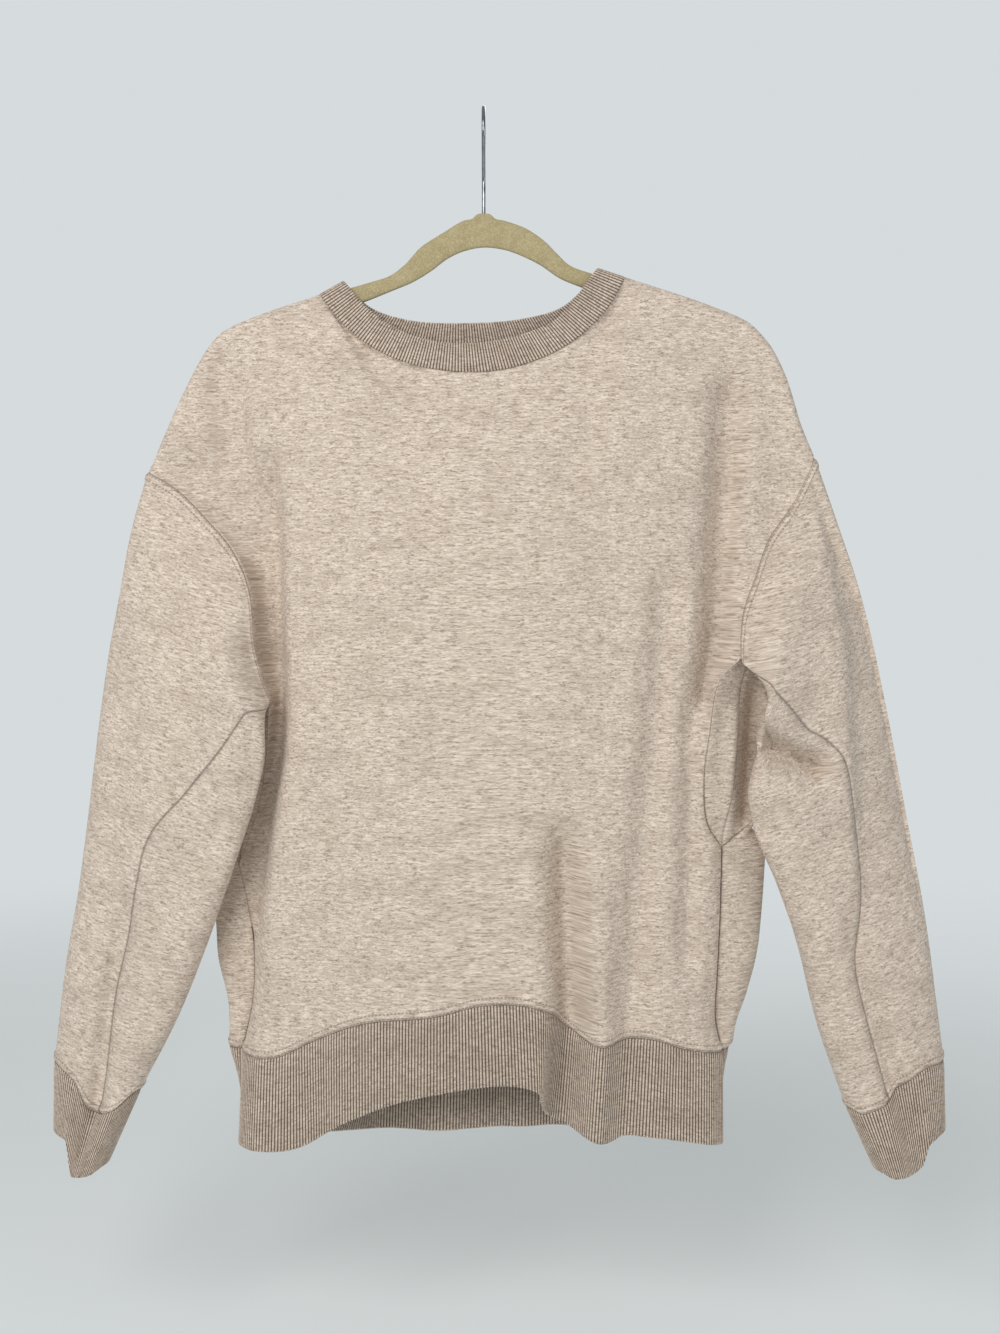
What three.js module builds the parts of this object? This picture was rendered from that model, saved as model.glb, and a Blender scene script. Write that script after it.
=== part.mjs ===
// A crewneck sweatshirt of brushed fleece, hanging on a slim flocked hanger.
// Millimetres, +Z up. The front faces -Y and +X is the viewer's right.
// The origin is the inside top of the hanger's hook, where a rail carries it.
import * as THREE from "three";

// Cloth and sewing
const CLOTH = 2; // wall of the fleece and of the rib
const SEAM_GAP = 0.3; // between two sewn pieces
const CORNER_TRIM = 2.2; // more is trimmed where four pieces meet
const RIB_PITCH = 5; // two knitted ribs for each one raised here
const RIB_RISE = 0.5; // how far a rib stands out of its band
// How the worn tube stands off the hanger
const RIDGE_RADIUS = 8; // rounding of the cloth over the hanger's arms
const SIDE_TURN = 20; // width over which a panel turns into its side seam
const BACK_DEPTH = 12; // the flat back lies this far behind the hanger
const NECK_FRONT_DEPTH = 17; // middle of the front neckline, before the hanger
const NECK_BACK_DEPTH = 10; // middle of the back neckline, behind the hanger
const NECKBAND_LEAN = 4; // the middle of the band's free edge leans back this far
const NECK_LENGTH = 300; // along the front or the back neckline, roughly
const FRONT_HALF_WIDTH = 230; // the front's bulge runs out at this half width
const BULGE_START = 70; // the bulge fills in over this way down from the top
// Hanger
const HANGER_THICKNESS = 6;
const HANGER_ROUND = 2; // rounding of the hanger's edges
const HANGER_SEAT_GAP = 0.3;
const WIRE_DIAMETER = 3;
const HOOK_RADIUS = 19; // of the hook's bend, to the wire's middle
const BUMP_TOP = -81; // the wire stands on the small bump in the hanger's middle

const FLEECE_COLOUR = 0xcfbeb0;
const RIB_COLOUR = 0xb39c8b;
const FLOCK_COLOUR = 0xc4b389;
const STEEL_COLOUR = 0xb9bec4;

// A table: column names once, then a row of numbers for each point, section or fold.
function table(columns, rows) {
  const names = columns.split(" ");
  return rows.map((row) => Object.fromEntries(names.map((name, k) => [name, row[k]])));
}

const mix = THREE.MathUtils.lerp;
const clamp = THREE.MathUtils.clamp;

// Eased step from 0 to 1.
function smooth(way) {
  const t = clamp(way, 0, 1);
  return t * t * (3 - 2 * t);
}

// Quarter circle: 0 at the edge, 1 from one radius inwards, upright where it starts.
function quarterRound(distance) {
  const t = clamp(1 - distance, 0, 1);
  return Math.sqrt(1 - t * t);
}

// Value of one column of a table at a place along another column.
function lookUp(rows, key, column, at) {
  const next = rows.findIndex((row) => row[key] >= at);
  if (next === 0) return rows[0][column];
  if (next < 0) return rows[rows.length - 1][column];
  const a = rows[next - 1];
  const b = rows[next];
  return mix(a[column], b[column], smooth((at - a[key]) / (b[key] - a[key])));
}

// Seams and edges as seen from the front. Left and right are the viewer's.
const SIDES = {
  left: {
    shoulder: table("x z", [[-267, -283], [-256, -259], [-242, -228], [-226, -197],
      [-217, -183], [-207, -173], [-184, -162], [-131, -144]]),
    armholeFront: table("x z", [[-267, -283], [-243, -297], [-219, -320], [-197, -346],
      [-184, -376], [-181, -415], [-176, -439], [-168, -462]]),
    armholeBack: table("x z", [[-267, -283], [-250, -305], [-230, -340], [-212, -380],
      [-200, -420], [-190, -458]]),
    gussetFront: table("x z", [[-168, -462], [-172, -505], [-180, -550], [-197, -598]]),
    gussetBack: table("x z", [[-190, -458], [-205, -510], [-208, -560], [-197, -598]]),
    side: table("x z", [[-197, -598], [-191, -625], [-185, -668], [-186, -706], [-195, -748]]),
    sleeveOuter: table("x z", [[-267, -283], [-281, -330], [-290, -374], [-300, -427],
      [-313, -514], [-326, -611], [-338, -677], [-349, -758]]),
    sleeveInner: table("x z", [[-168, -462], [-162, -484], [-163, -506], [-180, -548],
      [-200, -605], [-224, -669], [-243, -715], [-276, -778]]),
    cuffOuter: { x: -350, z: -815 },
    cuffInner: { x: -303, z: -838 },
  },
  right: {
    shoulder: table("x z", [[263, -272], [252, -246], [240, -209], [228, -185],
      [219, -174], [209, -165], [176, -151], [112, -130]]),
    armholeFront: table("x z", [[263, -272], [245, -308], [225, -337], [213, -369],
      [204, -394], [201, -417], [201, -431]]),
    armholeBack: table("x z", [[263, -272], [250, -300], [236, -340], [228, -380],
      [225, -415], [224, -436]]),
    gussetFront: table("x z", [[201, -431], [184, -449], [177, -489], [174, -529],
      [177, -562], [189, -582]]),
    gussetBack: table("x z", [[224, -436], [228, -500], [221, -549], [189, -582]]),
    side: table("x z", [[189, -582], [188, -638], [186, -687], [185, -720], [191, -746]]),
    sleeveOuter: table("x z", [[263, -272], [284, -329], [303, -385], [323, -467],
      [338, -541], [355, -627], [366, -706], [373, -757]]),
    sleeveInner: table("x z", [[201, -431], [213, -466], [210, -500], [208, -535],
      [215, -568], [230, -606], [249, -658], [267, -726], [291, -792]]),
    cuffOuter: { x: 375, z: -815 },
    cuffInner: { x: 314, z: -842 },
  },
};

const NECK = {
  seamFront: table("x z", [[-131, -144], [-104, -175], [-72, -195], [-32, -205],
    [10, -205], [46, -195], [76, -178], [100, -153], [112, -130]]),
  seamBack: table("x z", [[-131, -144], [-100, -170], [-60, -184], [-8, -188],
    [40, -184], [80, -165], [112, -130]]),
  edgeFront: table("x z", [[-111, -133], [-96, -151], [-72, -170], [-37, -182],
    [4, -182], [40, -173], [61, -161], [77, -141], [90, -123]]),
  edgeBack: table("x z", [[-111, -133], [-90, -153], [-58, -163], [-14, -165],
    [28, -162], [59, -154], [75, -142], [90, -123]]),
};

const HEM = {
  seamFront: table("x z", [[-195, -748], [-166, -747], [-134, -732], [-96, -716],
    [-42, -709], [-1, -700], [33, -701], [54, -709], [67, -723], [90, -733],
    [113, -730], [134, -730], [159, -739], [191, -746]]),
  seamBack: table("x z", [[-195, -748], [-100, -745], [0, -743], [100, -743], [191, -746]]),
  edgeFront: table("x z", [[-199, -824], [-148, -820], [-111, -798], [-64, -779],
    [-7, -768], [29, -768], [44, -774], [52, -795], [76, -807], [99, -813],
    [114, -809], [138, -810], [170, -816], [192, -821]]),
  edgeBack: table("x z", [[-199, -824], [-100, -820], [0, -818], [100, -817], [192, -821]]),
};

// How far the front stands forward of the hanger, by height.
const FRONT_BULGE = table("drop depth", [[130, 8], [200, 16], [300, 30], [450, 42],
  [600, 48], [760, 50]]);

// Depth of the side edges, by the fraction of the way from shoulder tip to hem.
const SIDE_DEPTH = {
  left: {
    front: table("way y", [[0, -10], [0.3, -16], [0.45, -19], [0.65, -12], [0.7, -8], [1, -8]]),
    back: table("way y", [[0, 8], [0.3, 6], [0.45, 2], [0.65, -6], [0.7, -8], [1, -8]]),
  },
  right: {
    front: table("way y", [[0, -10], [0.3, -22], [0.45, -34], [0.65, -26], [0.7, -21], [1, -18]]),
    back: table("way y", [[0, 8], [0.3, 2], [0.45, -6], [0.65, -16], [0.7, -21], [1, -18]]),
  },
};

// How far the back panel wraps past its side seam before it turns behind, by height.
const BACK_WRAP = {
  left: table("drop reach", [[280, 0], [500, 2], [598, 24], [668, 30], [715, 19], [750, 12], [830, 5]]),
  right: table("drop reach", [[280, 0], [545, 2], [584, 32], [655, 33], [700, 27], [748, 10], [830, 3]]),
};
const WRAP_WIDTH = 110; // cloth used by the turn round the back edge
const WRAP_FULL_REACH = 12; // from this reach on, the turn stays wholly outside the seam

// Soft folds of the front: a line from one place to another, its depth and its width.
// A positive depth is a trough and a negative one a ridge.
const FRONT_FOLDS = table("x1 z1 x2 z2 depth width", [
  [-200, -240, -186, -400, 9, 20],
  [56, -560, 58, -716, 13, 22],
  [142, -384, 111, -740, 6, 16],
  [160, -480, 160, -640, 5, 13],
  [196, -250, 181, -430, 9, 18],
  [-60, -215, -20, -420, 3, 30],
  [-120, -560, -136, -730, 5, 26],
]);

// Where the front rolls back towards the left armhole.
const LEFT_ROLL = { top: -290, bottom: -650, drop: 24, width: 12, fade: 70 };
const ROLL_LINE = table("drop x", [[290, -160], [480, -156], [565, -168], [650, -180]]);

// Sleeve sections: way down the sleeve, depth before and behind, and where the edges lie.
const SLEEVE_SECTIONS = {
  left: table("way front back outerY innerY", [[0, 12, 10, 0, -10], [0.12, 26, 8, 0, -38],
    [0.35, 30, 12, 2, -36], [0.6, 32, 24, 4, -24], [0.85, 28, 26, 4, -16], [1, 24, 24, 4, -12]]),
  right: table("way front back outerY innerY", [[0, 12, 10, 0, -12], [0.12, 28, 8, 2, -36],
    [0.35, 32, 12, 6, -36], [0.6, 34, 22, 8, -24], [0.85, 30, 26, 6, -16], [1, 24, 24, 4, -14]]),
};

// Where the two long sleeve seams lie, as a turn in degrees from the outer edge.
const SLEEVE_SEAMS = {
  left: table("way front back", [[0, 150, 150], [0.12, 124, 142], [0.24, 119, 130],
    [0.35, 108, 120], [0.55, 86, 112], [0.8, 88, 104], [1, 95, 100]]),
  right: table("way front back", [[0, 150, 150], [0.35, 94, 120], [0.7, 112, 112], [1, 100, 100]]),
};
const ARMHOLE_FADE = 0.3; // the armhole's own shape is lost this far down the sleeve

// Creases of the sleeves: from one way down and share across to another.
const SLEEVE_FOLDS = {
  left: table("way1 across1 way2 across2 depth width", [
    [0.02, 0.75, 0.2, 0.95, 5, 14],
    [0.7, 0.42, 1, 0.5, 9, 13],
    [0.1, 0.45, 0.34, 0.62, 3, 18],
  ]),
  right: table("way1 across1 way2 across2 depth width", [
    [0.1, 0.98, 0.24, 0.62, 9, 12],
    [0.06, 0.2, 0.6, 0.5, -6, 14],
    [0.7, 0.62, 1, 0.52, 8, 12],
  ]),
};

// Each cuff hangs in two parts, the front one lower: height of its free edge across the
// front, and how far its seam drops there.
const CUFF_EDGE = {
  left: table("across z", [[0, -815], [0.3, -817], [0.42, -846], [0.7, -845], [1, -838]]),
  right: table("across z", [[0, -815], [0.28, -821], [0.4, -838], [0.75, -847], [1, -842]]),
};
const CUFF_SEAM_DROP = {
  left: table("across drop", [[0, 0], [0.28, 6], [0.45, 21], [0.66, 9], [1, 0]]),
  right: table("across drop", [[0, 0], [0.25, -5], [0.5, 0], [0.65, 8], [0.85, 8], [1, 0]]),
};
const CUFF_DROP_START = 0.78; // the sleeve eases into the seam's drop from this way down

// Grid of each panel: the places of its rows and columns.
const ARMHOLE_WAYS = [0, 0.01, 0.03, 0.08, 0.18, 0.32, 0.48, 0.64, 0.79, 0.91, 1];
const NECK_WAYS = [0, 0.01, 0.03, 0.07, 0.14, 0.24, 0.37, 0.5, 0.63, 0.76, 0.86, 0.93, 0.97, 0.99, 1];
const GUSSET_ROWS = 5;
const SIDE_ROWS = 5;
const SHOULDER_COLUMNS = 8;
const NECK_COLUMNS = NECK_WAYS.length - 1;
const UNDERARM_COLUMNS = 5;
const SLEEVE_ROWS = 12;
const UNDERARM_WAY = 0.42; // share of a panel's height taken by its armhole
const TIP_WAY = 0.7; // and where the gusset's tip lies
const GUSSET_TIP_TRIM = 0.94; // the gusset stops just short of its point

// A smooth curve through a table of x and z, as points at even or given steps.
function curvePoints(rows, ways) {
  const curve = new THREE.CatmullRomCurve3(
    rows.map((row) => new THREE.Vector3(row.x, 0, row.z)), false, "centripetal");
  curve.arcLengthDivisions = 400;
  return ways.map((way) => curve.getPointAt(way));
}

function evenWays(count) {
  return Array.from({ length: count + 1 }, (_, k) => k / count);
}

// Places along the top of a body panel: shoulder, neckline, shoulder.
const SHOULDER_SHARE = 0.31;
const acrossWays = [
  ...evenWays(SHOULDER_COLUMNS).map((way) => way * SHOULDER_SHARE),
  ...NECK_WAYS.slice(1).map((way) => mix(SHOULDER_SHARE, 1 - SHOULDER_SHARE, way)),
  ...evenWays(SHOULDER_COLUMNS).slice(1).map((way) => mix(1 - SHOULDER_SHARE, 1, way)),
];

// Places down a body panel: armhole, gusset seam, side seam.
const UNDERARM_ROW = ARMHOLE_WAYS.length - 1;
const TIP_ROW = UNDERARM_ROW + GUSSET_ROWS;
const downWays = [
  ...ARMHOLE_WAYS.map((way) => way * UNDERARM_WAY),
  ...evenWays(GUSSET_ROWS).slice(1).map((way) => mix(UNDERARM_WAY, TIP_WAY, way)),
  ...evenWays(SIDE_ROWS).slice(1).map((way) => mix(TIP_WAY, 1, way)),
];

// Flat patch filled between four edges that meet at their corners.
function fillBetween(top, bottom, left, right) {
  return downWays.map((v, j) => acrossWays.map((u, i) => {
    const point = new THREE.Vector3();
    point.addScaledVector(top[i], 1 - v).addScaledVector(bottom[i], v);
    point.addScaledVector(left[j], 1 - u).addScaledVector(right[j], u);
    point.addScaledVector(top[0], -(1 - u) * (1 - v)).addScaledVector(top[top.length - 1], -u * (1 - v));
    point.addScaledVector(bottom[0], -(1 - u) * v).addScaledVector(bottom[bottom.length - 1], -u * v);
    return point;
  }));
}

// Left or right edge of a body panel, from the shoulder tip down to the hem.
function panelSide(side, armhole, gusset) {
  return [
    ...curvePoints(side[armhole], ARMHOLE_WAYS),
    ...curvePoints(side[gusset], evenWays(GUSSET_ROWS)).slice(1),
    ...curvePoints(side.side, evenWays(SIDE_ROWS)).slice(1),
  ];
}

// Top edge of a body panel, from one shoulder tip over the neckline to the other.
function panelTop(neckline) {
  const even = evenWays(SHOULDER_COLUMNS);
  return [
    ...curvePoints(SIDES.left.shoulder, even),
    ...curvePoints(neckline, NECK_WAYS).slice(1),
    ...curvePoints(SIDES.right.shoulder, even).reverse().slice(1),
  ];
}

// A soft trough or ridge along a line, by distance from it; it fades over its ends.
function foldAt(fold, x, z) {
  const along = new THREE.Vector2(fold.x2 - fold.x1, fold.z2 - fold.z1);
  const from = new THREE.Vector2(x - fold.x1, z - fold.z1);
  const length = along.length();
  const t = from.dot(along) / (length * length);
  const off = Math.abs(from.cross(along)) / length;
  const ends = Math.exp(-Math.pow(Math.max(0, -t, t - 1) * length / (2 * fold.width), 2));
  return fold.depth * ends * Math.exp(-Math.pow(off / fold.width, 2));
}

// Forward depth of the front, before its edges turn in, from the depth of its top edge.
function frontDepth(x, z, fromTop, topY) {
  const edge = Math.min(Math.abs(x) / FRONT_HALF_WIDTH, 1);
  const fill = smooth(fromTop / BULGE_START);
  let y = Math.min(-RIDGE_RADIUS, topY) - lookUp(FRONT_BULGE, "drop", "depth", -z) * (1 - edge ** 3) * fill;
  const roll = 1 / (1 + Math.exp((x - lookUp(ROLL_LINE, "drop", "x", -z)) / LEFT_ROLL.width * 2));
  const rollFade = clamp((LEFT_ROLL.top - z) / LEFT_ROLL.fade, 0, 1)
    * clamp((z - LEFT_ROLL.bottom) / LEFT_ROLL.fade, 0, 1);
  y += LEFT_ROLL.drop * roll * rollFade;
  return FRONT_FOLDS.reduce((depth, fold) => depth + foldAt(fold, x, z), y);
}

// Depth along the top edge: none on the shoulder ridge, a shallow bow at the neckline.
function topDepth(across, neckDepth) {
  const t = (across - SHOULDER_SHARE) / (1 - 2 * SHOULDER_SHARE);
  if (t <= 0 || t >= 1) return 0;
  const opened = RIDGE_RADIUS * quarterRound(Math.min(t, 1 - t) * NECK_LENGTH / RIDGE_RADIUS);
  return opened + (neckDepth - RIDGE_RADIUS) * Math.sin(Math.PI * t);
}

// A body panel: its flat outline, then its depth, turned in at the top and the sides.
function bodyPanel(face) {
  const isFront = face === "Front";
  const grid = fillBetween(panelTop(NECK[`seam${face}`]),
    curvePoints(HEM[`seam${face}`], acrossWays),
    panelSide(SIDES.left, `armhole${face}`, `gusset${face}`),
    panelSide(SIDES.right, `armhole${face}`, `gusset${face}`));
  const flat = grid.map((row) => row.map((point) => point.clone()));
  const [forward, neckDepth] = isFront ? [-1, NECK_FRONT_DEPTH] : [1, NECK_BACK_DEPTH];
  const key = face.toLowerCase();
  grid.forEach((row, j) => row.forEach((point, i) => {
    const nearLeft = acrossWays[i] < 0.5;
    const edgePoint = flat[j][nearLeft ? 0 : row.length - 1];
    const fromEdge = point.distanceTo(edgePoint);
    const side = nearLeft ? "left" : "right";
    const edgeDepth = lookUp(SIDE_DEPTH[side][key], "way", "y", downWays[j]);
    const fromTop = point.distanceTo(flat[0][i]);
    const topY = forward * topDepth(acrossWays[i], neckDepth);
    const middle = isFront ? frontDepth(point.x, point.z, fromTop, topY)
      : mix(Math.max(RIDGE_RADIUS, topY), BACK_DEPTH, smooth(fromTop / BULGE_START));
    const wrap = isFront ? { share: 0 } : backWrap(point.z, side, fromEdge);
    const turned = mix(quarterRound(fromEdge / SIDE_TURN), wrap.turn ?? 0, wrap.share);
    point.y = mix(topY, mix(edgeDepth, middle, turned), quarterRound(fromTop / RIDGE_RADIUS));
    if (wrap.share > 0) point.x += (nearLeft ? -1 : 1) * wrap.share * (wrap.out + fromEdge);
  }));
  return grid;
}

// The back panel goes out past its side seam, a quarter turn to its furthest reach, and then
// back behind: how far out a point lies, how far its depth has turned, and how much it counts.
function backWrap(z, side, fromEdge) {
  if (fromEdge >= WRAP_WIDTH) return { share: 0 };
  const reach = lookUp(BACK_WRAP[side], "drop", "reach", -z);
  const share = Math.min(1, reach / WRAP_FULL_REACH);
  const half = 1.25 * reach + 4;
  if (fromEdge <= half) {
    const angle = Math.PI / 2 * fromEdge / half;
    return { share, out: reach * Math.sin(angle), turn: 0.5 * (1 - Math.cos(angle)) };
  }
  const behind = Math.min(1, (fromEdge - half) / (0.6 * half + 8));
  const inward = Math.pow((fromEdge - half) / (WRAP_WIDTH - half), 1.5);
  return { share, out: reach - (reach + WRAP_WIDTH) * inward,
    turn: 0.5 + 0.5 * Math.sin(Math.PI / 2 * behind) };
}

// Underarm seam, from the front armhole's end to the back one's.
function underarmSeam(from, to) {
  return evenWays(UNDERARM_COLUMNS).map((way) => {
    const point = from.clone().lerp(to, way);
    point.z += 5 * Math.sin(Math.PI * way);
    return point;
  });
}

// Long panel set into the side under the arm, ruled between its two seams.
function gussetPanel(frontEdge, backEdge, underarm) {
  const rows = frontEdge.map((from, j) => {
    if (j === 0) return underarm.map((point) => point.clone());
    return evenWays(UNDERARM_COLUMNS).map((way) => from.clone().lerp(backEdge[j], way));
  });
  return rows;
}

// The gusset's last row stops just short of the point where its two seams meet.
function trimTip(piece) {
  const last = piece.grid.length - 1;
  for (const rows of [piece.grid, piece.normals]) {
    rows[last].forEach((value, i) => value.lerpVectors(rows[last - 1][i], value, GUSSET_TIP_TRIM));
  }
  piece.normals[last].forEach((normal) => normal.normalize());
}

// Angle round a sleeve, in radians from its outer edge, for each column of the armhole loop.
function sleeveAngle(share, seams, way) {
  const front = lookUp(seams, "way", "front", way);
  const back = lookUp(seams, "way", "back", way);
  if (share.part === "front") return THREE.MathUtils.degToRad(front * share.t);
  if (share.part === "back") return THREE.MathUtils.degToRad(360 - back * share.t);
  return THREE.MathUtils.degToRad(mix(front, 360 - back, share.t));
}

// Point of a sleeve section: across from the outer to the inner edge, bowed front and back.
function sectionPoint(outer, inner, section, angle) {
  const across = (1 - Math.cos(angle)) / 2;
  const bow = Math.pow(Math.abs(Math.sin(angle)), 0.8);
  const point = outer.clone().lerp(inner, across);
  point.y = mix(section.outerY, section.innerY, across);
  point.y += Math.sin(angle) > 0 ? -section.front * bow : section.back * bow * (1 - 0.7 * across);
  return point;
}

function sectionAt(rows, way) {
  const section = {};
  ["front", "back", "outerY", "innerY"].forEach((column) => {
    section[column] = lookUp(rows, "way", column, way);
  });
  return section;
}

// Creases on the sleeve's front, in shares down and across.
function sleeveFold(folds, way, across, length, width) {
  return folds.reduce((sum, fold) => sum + foldAt({
    x1: fold.across1 * width, z1: fold.way1 * length, x2: fold.across2 * width,
    z2: fold.way2 * length, depth: fold.depth, width: fold.width,
  }, across * width, way * length), 0);
}

const SLEEVE_LENGTH = 480;
const SLEEVE_WIDTH = 130;

// Sleeve rings from the armhole loop down to the cuff seam, then the cuff's edge ring.
function sleeveRings(sideName, loop) {
  const side = SIDES[sideName];
  const ways = evenWays(SLEEVE_ROWS);
  const outer = curvePoints(side.sleeveOuter, ways);
  const inner = curvePoints(side.sleeveInner, ways);
  const sections = SLEEVE_SECTIONS[sideName];
  const seams = SLEEVE_SEAMS[sideName];
  const rings = ways.map((way, k) => loop.map((entry) => {
    const angle = sleeveAngle(entry, seams, way);
    const point = sectionPoint(outer[k], inner[k], sectionAt(sections, way), angle);
    const first = sectionPoint(outer[0], inner[0], sectionAt(sections, 0), sleeveAngle(entry, seams, 0));
    const keep = 1 - smooth(way / ARMHOLE_FADE);
    point.addScaledVector(entry.point.clone().sub(first), keep);
    if (Math.sin(angle) > 0) {
      const across = (1 - Math.cos(angle)) / 2;
      const sink = sleeveFold(SLEEVE_FOLDS[sideName], way, across, SLEEVE_LENGTH, SLEEVE_WIDTH);
      point.y += sink * Math.sin(angle) * (1 - keep);
      const drop = lookUp(CUFF_SEAM_DROP[sideName], "across", "drop", across);
      point.z -= drop * smooth((way - CUFF_DROP_START) / (1 - CUFF_DROP_START));
    }
    return point;
  }));
  const edgeOuter = new THREE.Vector3(side.cuffOuter.x, 0, side.cuffOuter.z);
  const edgeInner = new THREE.Vector3(side.cuffInner.x, 0, side.cuffInner.z);
  const cuffEdge = loop.map((entry) => {
    const angle = sleeveAngle(entry, seams, 1);
    const point = sectionPoint(edgeOuter, edgeInner, sectionAt(sections, 1), angle);
    const across = (1 - Math.cos(angle)) / 2;
    if (Math.sin(angle) > 0) point.z = lookUp(CUFF_EDGE[sideName], "across", "z", across);
    return point;
  });
  return { rings, cuffEdge };
}

// Outward directions of a grid, by central differences; joined round if it is a closed ring.
function gridNormals(grid, isRing, facing) {
  const rows = grid.length;
  const columns = grid[0].length;
  const columnAt = (i) => (isRing ? (i + columns) % columns : clamp(i, 0, columns - 1));
  const at = (j, i) => grid[clamp(j, 0, rows - 1)][columnAt(i)];
  const normals = grid.map((row, j) => row.map((_, i) => {
    const across = at(j, i + 1).clone().sub(at(j, i - 1));
    const down = at(j + 1, i).clone().sub(at(j - 1, i));
    return down.cross(across).normalize();
  }));
  const middle = normals[rows >> 1][facing.column ?? columns >> 1];
  if (middle.dot(facing.direction) < 0) normals.flat().forEach((normal) => normal.negate());
  return normals;
}

// Where pieces share a point of a seam they share one outward direction, so the walls mitre.
function shareSeamNormals(pieces) {
  const groups = new Map();
  pieces.forEach((piece) => piece.grid.forEach((row, j) => row.forEach((point, i) => {
    const key = point.toArray().map((value) => `${Math.round(value * 1000)}`).join(" ");
    if (!groups.has(key)) groups.set(key, []);
    groups.get(key).push(piece.normals[j][i]);
  })));
  groups.forEach((normals) => {
    const mean = normals.reduce((sum, normal) => sum.add(normal), new THREE.Vector3()).normalize();
    normals.forEach((normal) => normal.copy(mean));
  });
}

// Sewn edges draw back by half of the seam gap along the cloth, and corners by more.
function drawBackEdges(piece) {
  const { grid, sewn, isRing } = piece;
  const rows = grid.length;
  const columns = grid[0].length;
  const old = grid.map((row) => row.map((point) => point.clone()));
  const pull = (j, i, toJ, toI) => {
    const step = old[toJ][toI].clone().sub(old[j][i]).setLength(SEAM_GAP / 2);
    grid[j][i].add(step);
  };
  for (let i = 0; i < columns; i += 1) {
    if (sewn.top) pull(0, i, 1, i);
    if (sewn.bottom) pull(rows - 1, i, rows - 2, i);
  }
  if (isRing) return;
  for (let j = 0; j < rows; j += 1) {
    if (sewn.left) pull(j, 0, j, 1);
    if (sewn.right) pull(j, columns - 1, j, columns - 2);
  }
  for (const [j, inwardJ] of [[0, 1], [rows - 1, rows - 2]]) {
    for (const [i, inwardI] of [[0, 1], [columns - 1, columns - 2]]) {
      grid[j][i].add(old[inwardJ][inwardI].clone().sub(old[j][i]).setLength(CORNER_TRIM));
    }
  }
}

// Finer columns for a ribbed band: every second one is raised.
function ribColumns(piece) {
  const { grid, normals } = piece;
  const columns = grid[0].length;
  const fineGrid = grid.map(() => []);
  const fineNormals = grid.map(() => []);
  const raise = [];
  for (let i = 0; i < columns; i += 1) {
    const next = (i + 1) % columns;
    const span = grid[0][i].distanceTo(grid[0][next]);
    const ribs = Math.max(1, Math.round(span / RIB_PITCH));
    for (let k = 0; k < 2 * ribs; k += 1) {
      const t = k / (2 * ribs);
      grid.forEach((row, j) => {
        fineGrid[j].push(row[i].clone().lerp(row[next], t));
        fineNormals[j].push(normals[j][i].clone().lerp(normals[j][next], t).normalize());
      });
      raise.push(k % 2 ? RIB_RISE : 0);
    }
  }
  return { grid: fineGrid, normals: fineNormals, raise };
}

// Closed wall: the grid, the same grid moved in by the cloth, and rims round its edges.
function wallGeometry(piece) {
  const { grid, normals, isRing, raise } = piece;
  const rows = grid.length;
  const columns = grid[0].length;
  const outer = grid.map((row, j) => row.map((point, i) =>
    point.clone().addScaledVector(normals[j][i], raise ? raise[i] : 0)));
  const inner = grid.map((row, j) => row.map((point, i) =>
    point.clone().addScaledVector(normals[j][i], -CLOTH)));
  const positions = [...outer.flat(), ...inner.flat()].flatMap((point) => point.toArray());
  const index = [];
  const outerAt = (j, i) => j * columns + (i % columns);
  const innerAt = (j, i) => rows * columns + outerAt(j, i);
  const quad = (a, b, c, d) => index.push(a, b, c, a, c, d);
  const outerPoints = outer.flat();
  const innerPoints = inner.flat();
  const spans = isRing ? columns : columns - 1;
  // A rim is split along its shorter diagonal, as the rim sewn to it is.
  const rim = (a, b) => {
    const [innerA, innerB] = [rows * columns + a, rows * columns + b];
    if (outerPoints[a].distanceTo(innerPoints[b]) < outerPoints[b].distanceTo(innerPoints[a])) {
      index.push(a, b, innerB, a, innerB, innerA);
    } else {
      index.push(a, b, innerA, b, innerB, innerA);
    }
  };
  for (let j = 0; j < rows - 1; j += 1) {
    for (let i = 0; i < spans; i += 1) {
      quad(outerAt(j, i), outerAt(j + 1, i), outerAt(j + 1, i + 1), outerAt(j, i + 1));
      quad(innerAt(j, i), innerAt(j, i + 1), innerAt(j + 1, i + 1), innerAt(j + 1, i));
    }
  }
  for (let i = 0; i < spans; i += 1) {
    rim(outerAt(0, i), outerAt(0, i + 1));
    rim(outerAt(rows - 1, i + 1), outerAt(rows - 1, i));
  }
  if (!isRing) {
    for (let j = 0; j < rows - 1; j += 1) {
      rim(outerAt(j + 1, 0), outerAt(j, 0));
      rim(outerAt(j, columns - 1), outerAt(j + 1, columns - 1));
    }
  }
  return closedGeometry(positions, index);
}

// Geometry from points and triangles, turned so that its volume is positive.
function closedGeometry(positions, index) {
  const corner = (k) => new THREE.Vector3(positions[3 * k], positions[3 * k + 1], positions[3 * k + 2]);
  let volume = 0;
  for (let k = 0; k < index.length; k += 3) {
    volume += corner(index[k]).dot(corner(index[k + 1]).cross(corner(index[k + 2])));
  }
  if (volume < 0) index.reverse();
  const geometry = new THREE.BufferGeometry();
  geometry.setAttribute("position", new THREE.Float32BufferAttribute(positions, 3));
  geometry.setIndex(index);
  geometry.computeVertexNormals();
  return geometry;
}

// Finishes
const finish = (color, roughness, metalness = 0) =>
  new THREE.MeshStandardMaterial({ color, roughness, metalness });
const fleece = () => finish(FLEECE_COLOUR, 0.95);
const rib = () => finish(RIB_COLOUR, 0.95);

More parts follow.
